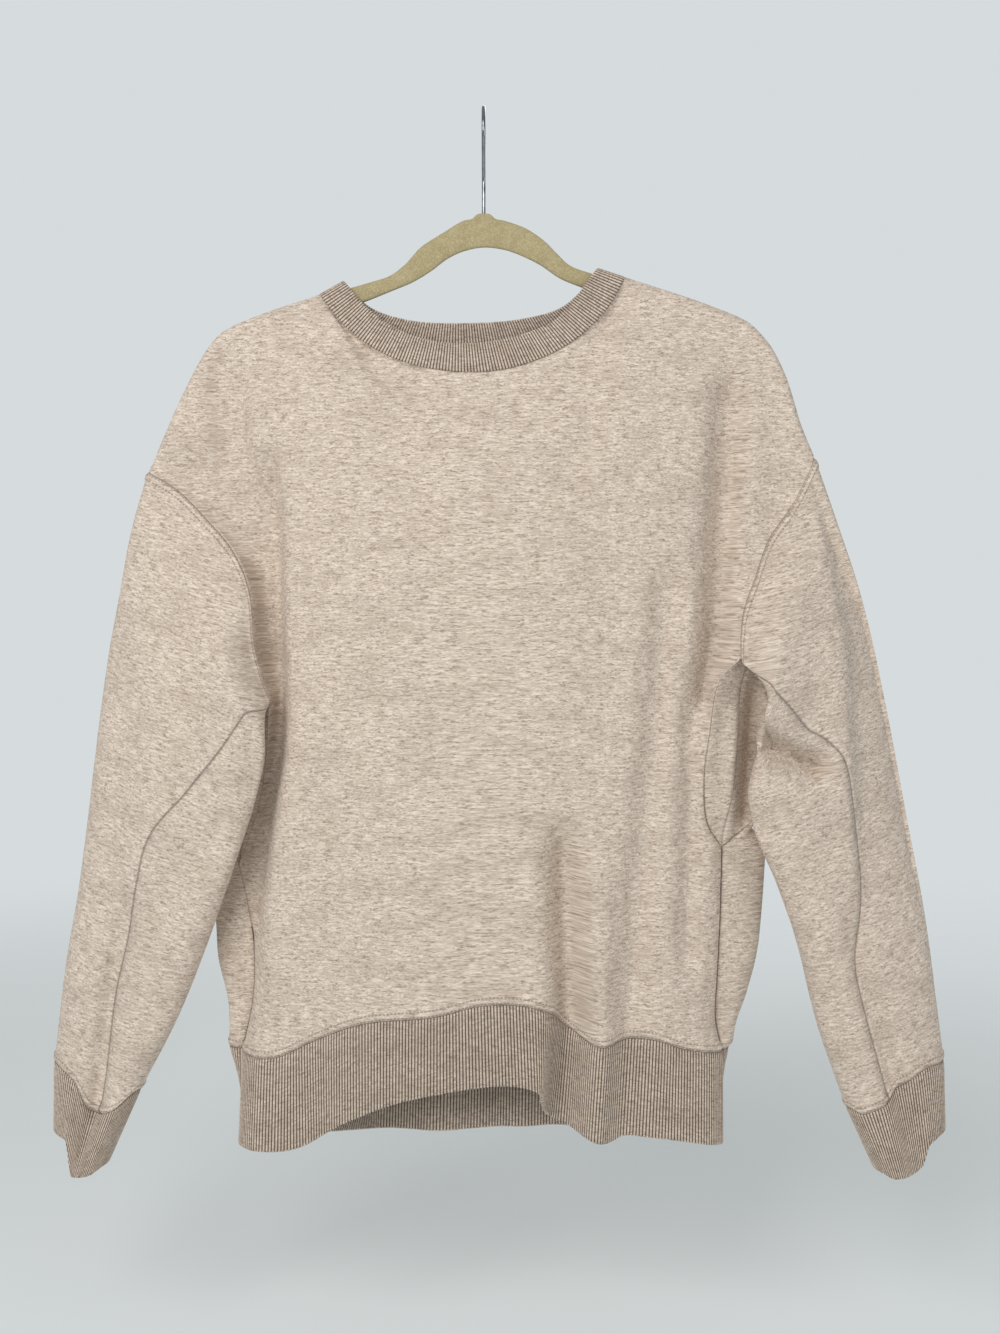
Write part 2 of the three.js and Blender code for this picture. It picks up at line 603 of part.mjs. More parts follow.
// The pieces as grids, sewn edge to edge
const front = bodyPanel("Front");
const back = bodyPanel("Back");
const column = (grid, i, from = 0, to = grid.length - 1) =>
  grid.slice(from, to + 1).map((row) => row[i]);
const lastColumn = acrossWays.length - 1;
const neckStart = SHOULDER_COLUMNS;
const neckEnd = SHOULDER_COLUMNS + NECK_COLUMNS;
const towards = (x, y, z) => ({ direction: new THREE.Vector3(x, y, z) });

const pieces = [];
function addPiece(name, grid, facing, sewn, options = {}) {
  const isRing = Boolean(options.isRing);
  const copied = grid.map((row) => row.map((point) => point.clone()));
  const piece = { name, grid: copied, isRing, sewn, ...options };
  piece.normals = gridNormals(piece.grid, isRing, facing);
  pieces.push(piece);
}

const allRound = { top: true, bottom: true, left: true, right: true };
addPiece("front", front, towards(0, -1, 0), allRound);
addPiece("back", back, towards(0, 1, 0), allRound);

for (const [sideName, i, out] of [["left", 0, -1], ["right", lastColumn, 1]]) {
  const frontEdge = column(front, i, UNDERARM_ROW, TIP_ROW);
  const backEdge = column(back, i, UNDERARM_ROW, TIP_ROW);
  const underarm = underarmSeam(frontEdge[0], backEdge[0]);
  addPiece(`gusset_${sideName}`, gussetPanel(frontEdge, backEdge, underarm),
    towards(out, 0, 0), allRound);
  const frontLoop = column(front, i, 0, UNDERARM_ROW).map((point, j) =>
    ({ point, part: "front", t: ARMHOLE_WAYS[j] }));
  const backLoop = column(back, i, 0, UNDERARM_ROW).map((point, j) =>
    ({ point, part: "back", t: ARMHOLE_WAYS[j] }));
  const underLoop = underarm.map((point, k) => ({ point, part: "under", t: k / UNDERARM_COLUMNS }));
  const upper = [...frontLoop.slice().reverse(), ...backLoop.slice(1)];
  const whole = [...upper, ...underLoop.slice(1, -1).reverse()];
  const { rings, cuffEdge } = sleeveRings(sideName, whole);
  const upperRows = rings.map((ring) => ring.slice(0, upper.length));
  const underRows = rings.map((ring) => [...ring.slice(upper.length - 1), ring[0]]);
  addPiece(`sleeve_${sideName}`, upperRows, towards(out, 0, 0.2), allRound);
  addPiece(`under_sleeve_${sideName}`, underRows, towards(-out, 0, -0.3), allRound);
  addPiece(`cuff_${sideName}`, [rings[rings.length - 1], cuffEdge],
    { direction: new THREE.Vector3(out, 0, 0), column: frontLoop.length - 1 },
    { top: true }, { isRing: true, isRibbed: true });
}

// Free edge of a band: the same columns as its seam, at the seam's depth unless it leans.
function bandEdge(curves, ways, seam, lean) {
  const edge = [
    ...curvePoints(curves.edgeFront, ways),
    ...curvePoints(curves.edgeBack, ways).reverse().slice(1, -1),
  ];
  edge.forEach((point, k) => {
    const middle = k < ways.length ? Math.sin(Math.PI * ways[k]) : 0;
    point.y = seam[k].y + lean * middle;
  });
  return edge;
}

const ringOf = (frontRow, backRow) => [...frontRow, ...backRow.slice().reverse().slice(1, -1)];
const neckSeam = ringOf(front[0].slice(neckStart, neckEnd + 1), back[0].slice(neckStart, neckEnd + 1));
addPiece("neckband", [neckSeam, bandEdge(NECK, NECK_WAYS, neckSeam, NECKBAND_LEAN)],
  { direction: new THREE.Vector3(0, -1, 0), column: NECK_COLUMNS >> 1 },
  { top: true }, { isRing: true, isRibbed: true });

const hemSeam = ringOf(front[front.length - 1], back[back.length - 1]);
addPiece("hem_band", [hemSeam, bandEdge(HEM, acrossWays, hemSeam, 0)],
  { direction: new THREE.Vector3(0, -1, 0), column: lastColumn >> 1 },
  { top: true }, { isRing: true, isRibbed: true });

shareSeamNormals(pieces);

const group = new THREE.Group();
function addMesh(name, geometry, material) {
  const mesh = new THREE.Mesh(geometry, material);
  mesh.name = name;
  group.add(mesh);
}

pieces.forEach((piece) => {
  if (piece.name.startsWith("gusset")) trimTip(piece);
  drawBackEdges(piece);
  const shape = piece.isRibbed ? { ...piece, ...ribColumns(piece) } : piece;
  addMesh(piece.name, wallGeometry(shape), piece.isRibbed ? rib() : fleece());
});

// Hanger: a bowed flat body with rounded edges, its arms inside the shoulders
const ARM_BELOW_RIDGE = CLOTH + HANGER_SEAT_GAP + 1; // the cloth folds sharply over the arm
const ARM_END_HEIGHT = 11;
const HANGER_TOP = table("x z", [[-110, -140], [-89, -134], [-74, -129], [-62, -120],
  [-50, -107], [-33, -96], [-16, -86], [-7, -84], [-5, BUMP_TOP], [5, BUMP_TOP], [7, -84], [16, -86],
  [33, -92], [48, -102], [58, -112], [68, -121], [84, -127], [95, -130]]);
const HANGER_LOW = table("x z", [[110, -150], [77, -138], [60, -131], [45, -121], [31, -114],
  [17, -109], [0, -107], [-16, -110], [-29, -116], [-41, -125], [-56, -134], [-73, -141],
  [-93, -149], [-130, -162]]);
const ARM_WAYS = [0.7, 0.77, 0.84, 0.92, 1]; // along a shoulder, from the arm's end to the neck

// Top of an arm: it follows the shoulder's ridge from below.
function armTop(side) {
  return curvePoints(side.shoulder, ARM_WAYS).map((point) =>
    ({ x: point.x, z: point.z - ARM_BELOW_RIDGE }));
}

function hangerBody() {
  const shape = new THREE.Shape();
  const inset = HANGER_ROUND;
  const [left, right] = [armTop(SIDES.left), armTop(SIDES.right)];
  const top = [...left, ...HANGER_TOP, ...right.reverse()];
  const end = (tip) => ({ x: tip.x, z: tip.z - ARM_END_HEIGHT });
  const low = [end(top[top.length - 1]), ...HANGER_LOW, end(top[0])];
  const outline = [
    ...top.map((p) => [p.x, p.z - inset]),
    ...low.map((p) => [p.x, p.z + inset]),
  ];
  shape.setFromPoints(outline.map(([x, z]) => new THREE.Vector2(x, z)));
  const geometry = new THREE.ExtrudeGeometry(shape, {
    depth: HANGER_THICKNESS - 2 * HANGER_ROUND,
    bevelThickness: HANGER_ROUND,
    bevelSize: HANGER_ROUND,
    bevelSegments: 2,
    curveSegments: 4,
  });
  geometry.translate(0, 0, -HANGER_THICKNESS / 2 + HANGER_ROUND);
  geometry.rotateX(Math.PI / 2);
  return geometry;
}

// Hook: a straight shank, an easy bend out, and an arc over the top
function hookWire() {
  const middle = WIRE_DIAMETER / 2 - HOOK_RADIUS;
  const points = [[0, BUMP_TOP + HANGER_SEAT_GAP], [0, -66], [0, -54], [-4, -46]];
  for (let degrees = 215; degrees >= -15; degrees -= 23) {
    const turn = THREE.MathUtils.degToRad(degrees);
    points.push([HOOK_RADIUS * Math.cos(turn), middle + HOOK_RADIUS * Math.sin(turn)]);
  }
  const path = new THREE.CatmullRomCurve3(points.map(([y, z]) => new THREE.Vector3(0, y, z)));
  const section = new THREE.Shape();
  section.absarc(0, 0, WIRE_DIAMETER / 2, 0, 2 * Math.PI);
  return new THREE.ExtrudeGeometry(section, {
    extrudePath: path, steps: 44, curveSegments: 8, bevelEnabled: false,
  });
}

addMesh("hanger_body", hangerBody(), finish(FLOCK_COLOUR, 1));
addMesh("hook", hookWire(), finish(STEEL_COLOUR, 0.25, 1));

export default group;
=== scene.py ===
import bpy
import numpy as np
from mathutils import Euler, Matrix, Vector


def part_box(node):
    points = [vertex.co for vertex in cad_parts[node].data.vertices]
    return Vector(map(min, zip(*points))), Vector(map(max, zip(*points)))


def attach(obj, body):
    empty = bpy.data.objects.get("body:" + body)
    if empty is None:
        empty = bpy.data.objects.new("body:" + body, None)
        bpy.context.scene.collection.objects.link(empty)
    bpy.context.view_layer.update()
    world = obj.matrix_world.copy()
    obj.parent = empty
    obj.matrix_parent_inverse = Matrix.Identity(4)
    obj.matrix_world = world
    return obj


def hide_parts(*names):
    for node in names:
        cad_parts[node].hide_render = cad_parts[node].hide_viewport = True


# A crewneck sweatshirt of heathered fleece on a slim flocked hanger.
# Tables are in millimetres, as x and z seen from the front, and the model is in metres.
# Left and right are the viewer's. The origin is the inside top of the hanger's hook.
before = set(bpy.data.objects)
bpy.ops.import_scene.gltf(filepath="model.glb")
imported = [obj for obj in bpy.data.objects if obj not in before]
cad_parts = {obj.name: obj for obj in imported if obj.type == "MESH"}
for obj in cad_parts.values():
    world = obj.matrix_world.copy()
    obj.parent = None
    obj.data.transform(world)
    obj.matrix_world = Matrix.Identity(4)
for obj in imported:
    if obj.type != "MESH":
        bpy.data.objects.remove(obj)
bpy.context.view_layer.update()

MM = 0.001

# Cloth and sewing
CLOTH = 1.8  # wall of the fleece
BAND_WALL = 2.6  # a rib band is folded double
RIB_PITCH = 2.5
RIB_RISE = 0.85  # from a rib's valley to its top
RIB_SAMPLES = 5  # points across one rib
SEAM_DIP = 0.8  # the cloth sinks this far into a seam
SEAM_DIP_WIDTH = 1.7
SEAM_RAISE = 1.1  # the folded allowance lifts the cloth beside a topstitched seam
STITCH_ROW = 6.0  # topstitching lies this far from its seam
# How the worn tube stands off the hanger
RIDGE_RADIUS = 8
SIDE_TURN = 20
BACK_DEPTH = 12
NECK_FRONT_DEPTH = 17
NECK_BACK_DEPTH = 10
NECKBAND_LEAN = 4
HEM_LEAN = 12
NECK_LENGTH = 300
FRONT_HALF_WIDTH = 230
BULGE_START = 70
WRAP_WIDTH = 110
WRAP_FULL_REACH = 12
# Hanger
HANGER_THICKNESS = 6
WIRE_DIAMETER = 3
HOOK_RADIUS = 19
BUMP_TOP = -81

# Seams and edges as seen from the front
SIDES = {
    "left": {
        "shoulder": [(-267, -283), (-256, -259), (-242, -228), (-226, -197), (-217, -183),
                     (-207, -173), (-184, -162), (-131, -144)],
        "armhole_front": [(-267, -283), (-243, -297), (-219, -320), (-197, -346), (-184, -376),
                          (-181, -415), (-176, -439), (-168, -462)],
        "armhole_back": [(-267, -283), (-250, -305), (-230, -340), (-212, -380), (-200, -420),
                         (-190, -458)],
        "gusset_front": [(-168, -462), (-172, -505), (-180, -550), (-197, -598)],
        "gusset_back": [(-190, -458), (-205, -510), (-208, -560), (-197, -598)],
        "side": [(-197, -598), (-191, -625), (-185, -668), (-186, -706), (-195, -748)],
        "sleeve_outer": [(-267, -283), (-281, -330), (-290, -374), (-300, -427), (-313, -514),
                         (-326, -611), (-338, -677), (-349, -758)],
        "sleeve_inner": [(-168, -462), (-162, -484), (-163, -506), (-180, -548), (-200, -605),
                         (-224, -669), (-243, -715), (-276, -778)],
        "cuff_outer": (-350, -815),
        "cuff_inner": (-303, -838),
    },
    "right": {
        "shoulder": [(263, -272), (252, -246), (240, -209), (228, -185), (219, -174),
                     (209, -165), (176, -151), (112, -130)],
        "armhole_front": [(263, -272), (245, -308), (225, -337), (213, -369), (204, -394),
                          (201, -417), (201, -431)],
        "armhole_back": [(263, -272), (250, -300), (236, -340), (228, -380), (225, -415),
                         (224, -436)],
        "gusset_front": [(201, -431), (184, -449), (177, -489), (174, -529), (177, -562),
                         (189, -582)],
        "gusset_back": [(224, -436), (231, -500), (224, -547), (189, -582)],
        "side": [(189, -582), (188, -638), (186, -687), (185, -720), (191, -746)],
        "sleeve_outer": [(263, -272), (284, -329), (303, -385), (323, -467), (338, -541),
                         (355, -627), (366, -706), (373, -757)],
        "sleeve_inner": [(201, -431), (213, -464), (211, -500), (207, -535), (213, -568),
                         (230, -606), (249, -658), (267, -726), (291, -792)],
        "cuff_outer": (375, -815),
        "cuff_inner": (314, -842),
    },
}
NECK = {
    "seam_front": [(-131, -144), (-104, -175), (-72, -195), (-32, -205), (10, -205), (46, -195),
                   (76, -178), (100, -153), (112, -130)],
    "seam_back": [(-131, -144), (-100, -170), (-60, -184), (-8, -188), (40, -184), (80, -165),
                  (112, -130)],
    "edge_front": [(-111, -133), (-96, -151), (-72, -170), (-37, -182), (4, -182), (40, -173),
                   (61, -161), (77, -141), (90, -123)],
    "edge_back": [(-111, -133), (-90, -153), (-58, -163), (-14, -165), (28, -162), (59, -154),
                  (75, -142), (90, -123)],
}
HEM = {
    "seam_front": [(-195, -748), (-166, -747), (-134, -732), (-96, -716), (-42, -709), (-1, -700),
                   (33, -701), (54, -709), (67, -723), (90, -733), (113, -730), (134, -730),
                   (159, -739), (191, -746)],
    "seam_back": [(-195, -748), (-100, -745), (0, -743), (100, -743), (191, -746)],
    "edge_front": [(-199, -824), (-148, -820), (-111, -798), (-64, -779), (-7, -768), (29, -768),
                   (44, -774), (52, -795), (76, -807), (99, -813), (114, -809), (138, -810),
                   (170, -816), (192, -821)],
    "edge_back": [(-199, -824), (-100, -820), (0, -818), (100, -817), (192, -821)],
}

# How far the front stands forward of the hanger: drop, depth
FRONT_BULGE = [(130, 8), (200, 16), (300, 30), (450, 42), (600, 48), (760, 50)]

# Depth of the side edges: way from shoulder tip to hem, y
SIDE_DEPTH = {
    "left": {
        "front": [(0, -10), (0.16, -19), (0.32, -29), (0.43, -30), (0.52, -16), (0.6, -7), (0.7, -4),
                  (1, -5)],
        "back": [(0, 8), (0.3, 6), (0.45, 3), (0.65, -1), (0.7, -4), (1, -5)],
    },
    "right": {
        "front": [(0, -10), (0.3, -22), (0.45, -34), (0.65, -26), (0.7, -21), (1, -18)],
        "back": [(0, 8), (0.3, 2), (0.45, -6), (0.65, -16), (0.7, -21), (1, -18)],
    },
}

# How far the back wraps past its side seam before it turns behind: drop, reach
BACK_WRAP = {
    "left": [(280, 0), (500, 2), (598, 24), (668, 30), (715, 19), (750, 12), (830, 5)],
    "right": [(280, 0), (545, 2), (584, 32), (655, 33), (700, 27), (748, 10), (830, 3)],
}

# Soft folds of the front: x1, z1, x2, z2, depth (a ridge is negative), width
FRONT_FOLDS = [
    (-202, -225, -184, -390, 28, 13),
    (-174, -315, -172, -450, 12, 9),
    (62, -590, 68, -738, 23, 13),
    (88, -600, 94, -738, -6, 11),
    (142, -384, 111, -740, 10, 14),
    (128, -400, 92, -700, -3, 16),
    (163, -480, 161, -660, 9, 10),
    (194, -235, 179, -450, 27, 12),
    (-60, -215, -20, -420, 3, 30),
    (-108, -170, -60, -300, 4, 16),
    (104, -160, 70, -280, 4, 15),
    (-120, -560, -136, -730, 6, 26),
    (-40, -640, -30, -715, -4, 30),
]
# The same of the back: a ridge is positive
BACK_FOLDS = [
    (-96, -170, -40, -330, -4, 16),
    (88, -160, 30, -300, -3, 18),
    (-60, -420, -80, -735, 5, 22),
    (-20, -500, -34, -740, -6, 18),
    (70, -380, 58, -735, 6, 20),
    (104, -540, 96, -740, -5, 15),
    (10, -620, 14, -740, 4, 14),
]
DEEPEST = 1  # the front's folds end here, before the back
DEEP_EASE = 4
LEFT_ROLL = {"top": -262, "bottom": -705, "drop": 34, "width": 4.5, "fade": 70}
ROLL_LINE = [(290, -160), (480, -156), (565, -167), (650, -179), (700, -184)]

# Sleeve sections: way down, depth before and behind, depth of the outer and the inner edge
SLEEVE_SECTIONS = {
    "left": [(0, 12, 10, 0, -10), (0.12, 26, 8, 0, -38), (0.35, 30, 12, 2, -36),
             (0.6, 32, 24, 4, -24), (0.85, 28, 26, 4, -16), (1, 24, 24, 4, -12)],
    "right": [(0, 12, 10, 0, -12), (0.12, 28, 8, 2, -36), (0.35, 32, 12, 6, -36),
              (0.6, 34, 22, 8, -24), (0.85, 30, 26, 6, -16), (1, 24, 24, 4, -14)],
}
# The two long sleeve seams: way down, turn in degrees from the outer edge, front and back
SLEEVE_SEAMS = {
    "left": [(0, 150, 150), (0.12, 124, 142), (0.24, 119, 130), (0.35, 108, 120),
             (0.55, 86, 112), (0.8, 88, 104), (1, 95, 100)],
    "right": [(0, 150, 150), (0.1, 132, 142), (0.2, 112, 134), (0.35, 85, 122), (0.42, 76, 118),
              (0.5, 79, 116), (0.6, 85, 114), (0.76, 107, 110), (1, 102, 102)],
}
ARMHOLE_FADE = 0.3
GUSSET_FOLDS = [(216, -468, 212, -556, 23, 8), (198, -480, 194, -566, -5, 6),
                (-198, -480, -202, -570, 6, 8)]
GUSSET_SEAM = 0.46  # share across of the seam down a gusset's middle
# Creases of the sleeves: way1, across1, way2, across2, depth, width
SLEEVE_FOLDS = {
    "left": [(0.02, 0.75, 0.2, 0.95, 5, 14), (0.7, 0.42, 1, 0.5, 10, 12),
             (0.06, 0.4, 0.34, 0.62, 5, 16), (0.4, 0.86, 0.62, 0.6, 6, 12),
             (0.3, 0.2, 0.7, 0.26, 4, 14)],
    "right": [(0.18, 0.96, 0.37, 0.56, 32, 6.5), (0.1, 0.95, 0.33, 0.5, -2, 9),
              (0.3, 0.5, 0.62, 0.62, 4, 14),
              (0.36, 0.98, 0.5, 0.7, 7, 11), (0.7, 0.62, 1, 0.52, 9, 11)],
}
# The right sleeve's front layer ends in a soft step: drop, x
LAYER_LINE = [(273, 255), (308, 266), (353, 276), (434, 288), (532, 292), (597, 294), (719, 301)]
LAYER_STEP = {"depth": 14, "width": 2.6, "end": -690, "fade": 110}
# Above its elbow crease the right sleeve's cloth hangs over: way1, across1, way2, across2, reach, width
OVERHANG = (0.14, 0.9, 0.3, 0.56, 6, 9)
SLEEVE_LENGTH = 480
SLEEVE_WIDTH = 130

# Each cuff hangs in two parts, the front one lower: share across, and its free edge's height
CUFF_EDGE = {
    "left": [(0, -815), (0.3, -817), (0.42, -846), (0.7, -845), (1, -838)],
    "right": [(0, -815), (0.28, -821), (0.4, -838), (0.75, -847), (1, -842)],
}
# Share across, and how far the cuff's seam drops at the front
CUFF_SEAM_DROP = {
    "left": [(0, 0), (0.28, 6), (0.48, 28), (0.72, 20), (1, 0)],
    "right": [(0, 0), (0.25, -5), (0.5, 0), (0.65, 8), (0.85, 8), (1, 0)],
}
CUFF_DROP_START = 0.78

# Grid of the body panels
SHOULDER_SHARE = 0.31
UNDERARM_WAY = 0.42
TIP_WAY = 0.7
SHOULDER_COLUMNS = 50
NECK_COLUMNS = 104
ARMHOLE_ROWS = 90
GUSSET_ROWS = 50
SIDE_ROWS = 52
UNDERARM_COLUMNS = 24
CORNER_EASE = 16  # columns over which the neck's corner is eased
SLEEVE_ROWS = 160


def smooth(way):
    """Eased step: 3t² − 2t³, level past 0 and 1."""
    t = np.clip(way, 0, 1)
    return t * t * (3 - 2 * t)


def quarter_round(distance):
    """Quarter circle: the root of 1 − (1 − d)², which is 1 from one radius inwards."""
    t = np.clip(1 - distance, 0, 1)
    return np.sqrt(1 - t * t)


def look_up(rows, at, column=1):
    """Value of a table's column at a place along its first, by a cubic that keeps to the rows.

    A row's slope is the harmonic mean of its two neighbours' and none at a turn or an end.
    """
    rows = np.array(rows, float)
    keys, values = rows[:, 0], rows[:, column]
    gaps = np.diff(keys)
    slopes = np.diff(values) / gaps
    before, after = slopes[:-1], slopes[1:]
    same_way = before * after > 0
    harmonic = 2 * before * after / np.where(same_way, before + after, 1)
    tangents = np.concatenate([[0], np.where(same_way, harmonic, 0), [0]])
    k = np.clip(np.searchsorted(keys, at) - 1, 0, len(keys) - 2)
    t = np.clip((at - keys[k]) / gaps[k], 0, 1)
    level = values[k] + (values[k + 1] - values[k]) * smooth(t)
    lean = tangents[k] * t * (1 - t) ** 2 - tangents[k + 1] * t * t * (1 - t)
    return level + gaps[k] * lean


def curve_points(rows, ways):
    """Centripetal Catmull-Rom curve through rows of x and z, at fractions of its length."""
    p = np.array(rows, float)
    p = np.vstack([2 * p[0] - p[1], p, 2 * p[-1] - p[-2]])
    fine = np.linspace(0, len(rows) - 1, 3001)
    k = np.minimum(fine.astype(int), len(rows) - 2)
    t = (fine - k)[:, None]
    a, b, c, d = p[k], p[k + 1], p[k + 2], p[k + 3]
    ab, bc, cd = (np.sqrt(np.linalg.norm(step, axis=1))[:, None] for step in (b - a, c - b, d - c))
    out_b = bc * ((b - a) / ab - (c - a) / (ab + bc) + (c - b) / bc)
    in_c = bc * ((c - b) / bc - (d - b) / (bc + cd) + (d - c) / cd)
    dense = (b * (2 * t**3 - 3 * t**2 + 1) + out_b * (t**3 - 2 * t**2 + t)
             + c * (3 * t**2 - 2 * t**3) + in_c * (t**3 - t**2))
    length = np.concatenate([[0], np.cumsum(np.linalg.norm(np.diff(dense, axis=0), axis=1))])
    at = np.asarray(ways) * length[-1]
    x, z = (np.interp(at, length, dense[:, axis]) for axis in (0, 1))
    return np.stack([x, np.zeros_like(x), z], axis=1)


def fold_at(fold, x, z):
    """Trough or ridge along a line: depth · exp(−(distance / width)²), faded past its ends."""
    x1, z1, x2, z2, depth, width = fold
    length = np.hypot(x2 - x1, z2 - z1)
    t = ((x - x1) * (x2 - x1) + (z - z1) * (z2 - z1)) / length**2
    off = ((x - x1) * (z2 - z1) - (z - z1) * (x2 - x1)) / length
    past = np.maximum(0, np.maximum(-t, t - 1)) * length
    return depth * np.exp(-((past / (2 * width)) ** 2)) * np.exp(-((off / width) ** 2))


def blend(a, b, share):
    return a + (b - a) * share


# Places across the top of a panel, dense at the shoulder tips and at the neck's corners
shoulder_steps = np.linspace(0, 1, SHOULDER_COLUMNS + 1) ** 1.4
neck_even = np.linspace(0, 1, NECK_COLUMNS + 1)
neck_steps = 0.5 * neck_even + 0.25 * (1 - np.cos(np.pi * neck_even))
across = np.concatenate([
    SHOULDER_SHARE * shoulder_steps,
    blend(SHOULDER_SHARE, 1 - SHOULDER_SHARE, neck_steps)[1:],
    (1 - SHOULDER_SHARE * shoulder_steps)[::-1][1:],
])
# Places down a panel, dense at the ridge
armhole_steps = np.linspace(0, 1, ARMHOLE_ROWS + 1) ** 1.5
down = np.concatenate([
    UNDERARM_WAY * armhole_steps,
    np.linspace(UNDERARM_WAY, TIP_WAY, GUSSET_ROWS + 1)[1:],
    np.linspace(TIP_WAY, 1, SIDE_ROWS + 1)[1:],
])
UNDERARM_ROW = ARMHOLE_ROWS
TIP_ROW = ARMHOLE_ROWS + GUSSET_ROWS


def panel_side(side, armhole, gusset):
    """Left or right edge of a panel, from the shoulder tip down to the hem."""
    return np.vstack([
        curve_points(side[armhole], armhole_steps),
        curve_points(side[gusset], np.linspace(0, 1, GUSSET_ROWS + 1))[1:],
        curve_points(side["side"], np.linspace(0, 1, SIDE_ROWS + 1))[1:],
    ])


def panel_top(neckline):
    """Top edge of a panel: shoulder, neckline, shoulder."""
    return np.vstack([
        curve_points(SIDES["left"]["shoulder"], shoulder_steps),
        curve_points(neckline, neck_steps)[1:],
        curve_points(SIDES["right"]["shoulder"], shoulder_steps)[::-1][1:],
    ])


def fill_between(top, bottom, left, right):
    """Patch between four edges: the two ruled surfaces added, less the bilinear one."""
    u, v = across[None, :, None], down[:, None, None]
    ruled = (1 - v) * top[None] + v * bottom[None] + (1 - u) * left[:, None] + u * right[:, None]
    corners = ((1 - u) * (1 - v) * top[0] + u * (1 - v) * top[-1]
               + (1 - u) * v * bottom[0] + u * v * bottom[-1])
    return ruled - corners


def neck_bow(neck_depth, from_top):
    """What the neckline stands off past the ridge: a squared sine across, gone by 90 mm down."""
    t = np.clip((across - SHOULDER_SHARE) / (1 - 2 * SHOULDER_SHARE), 0, 1)
    return (neck_depth - RIDGE_RADIUS) * np.sin(np.pi * t)[None, :] ** 2 * (1 - smooth(from_top / 90))


def front_depth(x, z, from_top):
    """Forward bulge · (1 − cubed share across), the left roll as a logistic step, the folds.

    A soft minimum, m − k·log(1 + exp((m − y) / k)), keeps the folds clear of the back.
    """
    edge = np.minimum(np.abs(x) / FRONT_HALF_WIDTH, 1)
    fill = smooth(from_top / BULGE_START)
    y = -RIDGE_RADIUS - look_up(FRONT_BULGE, -z) * (1 - edge**3) * fill
    y = y - neck_bow(NECK_FRONT_DEPTH, from_top)
    roll = 1 / (1 + np.exp((x - look_up(ROLL_LINE, -z)) / LEFT_ROLL["width"] * 2))
    fade = (np.clip((LEFT_ROLL["top"] - z) / LEFT_ROLL["fade"], 0, 1)
            * np.clip((z - LEFT_ROLL["bottom"]) / LEFT_ROLL["fade"], 0, 1))
    y = y + LEFT_ROLL["drop"] * roll * fade
    y = y + sum(fold_at(fold, x, z) for fold in FRONT_FOLDS)
    return DEEPEST - DEEP_EASE * np.logaddexp(0, (DEEPEST - y) / DEEP_EASE)


def top_depth(neck_depth):
    """Depth along the top edge: none on the ridge, quarter-round corners, a sine bow."""
    t = (across - SHOULDER_SHARE) / (1 - 2 * SHOULDER_SHARE)
    inside = np.clip(t, 0, 1)
    corner = np.minimum(inside, 1 - inside) * NECK_LENGTH / RIDGE_RADIUS
    bow = RIDGE_RADIUS * quarter_round(corner) + (neck_depth - RIDGE_RADIUS) * np.sin(np.pi * inside)
    return np.where((t > 0) & (t < 1), bow, 0)


def body_panel(face):
    """A panel: its flat outline, then its depth, turned in at the top and the sides."""
    is_front = face == "front"
    flat = fill_between(panel_top(NECK[f"seam_{face}"]), curve_points(HEM[f"seam_{face}"], across),
                        panel_side(SIDES["left"], f"armhole_{face}", f"gusset_{face}"),
                        panel_side(SIDES["right"], f"armhole_{face}", f"gusset_{face}"))
    near_left = (across < 0.5)[None, :]
    edge_points = np.where(near_left[..., None], flat[:, :1], flat[:, -1:])
    from_edge = np.linalg.norm(flat - edge_points, axis=2)
    from_top = eased_across(np.linalg.norm(flat - flat[:1], axis=2))
    edge_y = np.where(near_left, look_up(SIDE_DEPTH["left"][face], down)[:, None],
                      look_up(SIDE_DEPTH["right"][face], down)[:, None])
    forward, neck_depth = (-1, NECK_FRONT_DEPTH) if is_front else (1, NECK_BACK_DEPTH)
    top_y = forward * top_depth(neck_depth)[None, :]
    x, z = flat[..., 0], flat[..., 2]
    if is_front:
        middle = front_depth(x, z, from_top)
    else:
        middle = blend(RIDGE_RADIUS, BACK_DEPTH, smooth(from_top / BULGE_START))
        middle = middle + neck_bow(NECK_BACK_DEPTH, from_top)
        middle = middle + sum(fold_at(fold, x, z) for fold in BACK_FOLDS)
    turned = quarter_round(from_edge / SIDE_TURN)
    grid = flat.copy()
    if not is_front:
        share, out, turn = back_wrap(z, from_edge, near_left)
        turned = blend(turned, turn, share)
        grid[..., 0] += np.where(near_left, -1, 1) * share * (out + from_edge)
    grid[..., 1] = blend(top_y, blend(edge_y, middle, turned), quarter_round(from_top / RIDGE_RADIUS))
    return grid


def eased_across(values):
    """Mean of each value and its neighbours across, weighted by a raised cosine."""
    weights = 1 + np.cos(np.linspace(-np.pi, np.pi, 2 * CORNER_EASE + 3)[1:-1])
    weights /= weights.sum()
    padded = np.pad(values, ((0, 0), (CORNER_EASE, CORNER_EASE)), mode="edge")
    shifts = [padded[:, k:k + values.shape[1]] * weight for k, weight in enumerate(weights)]
    return sum(shifts)


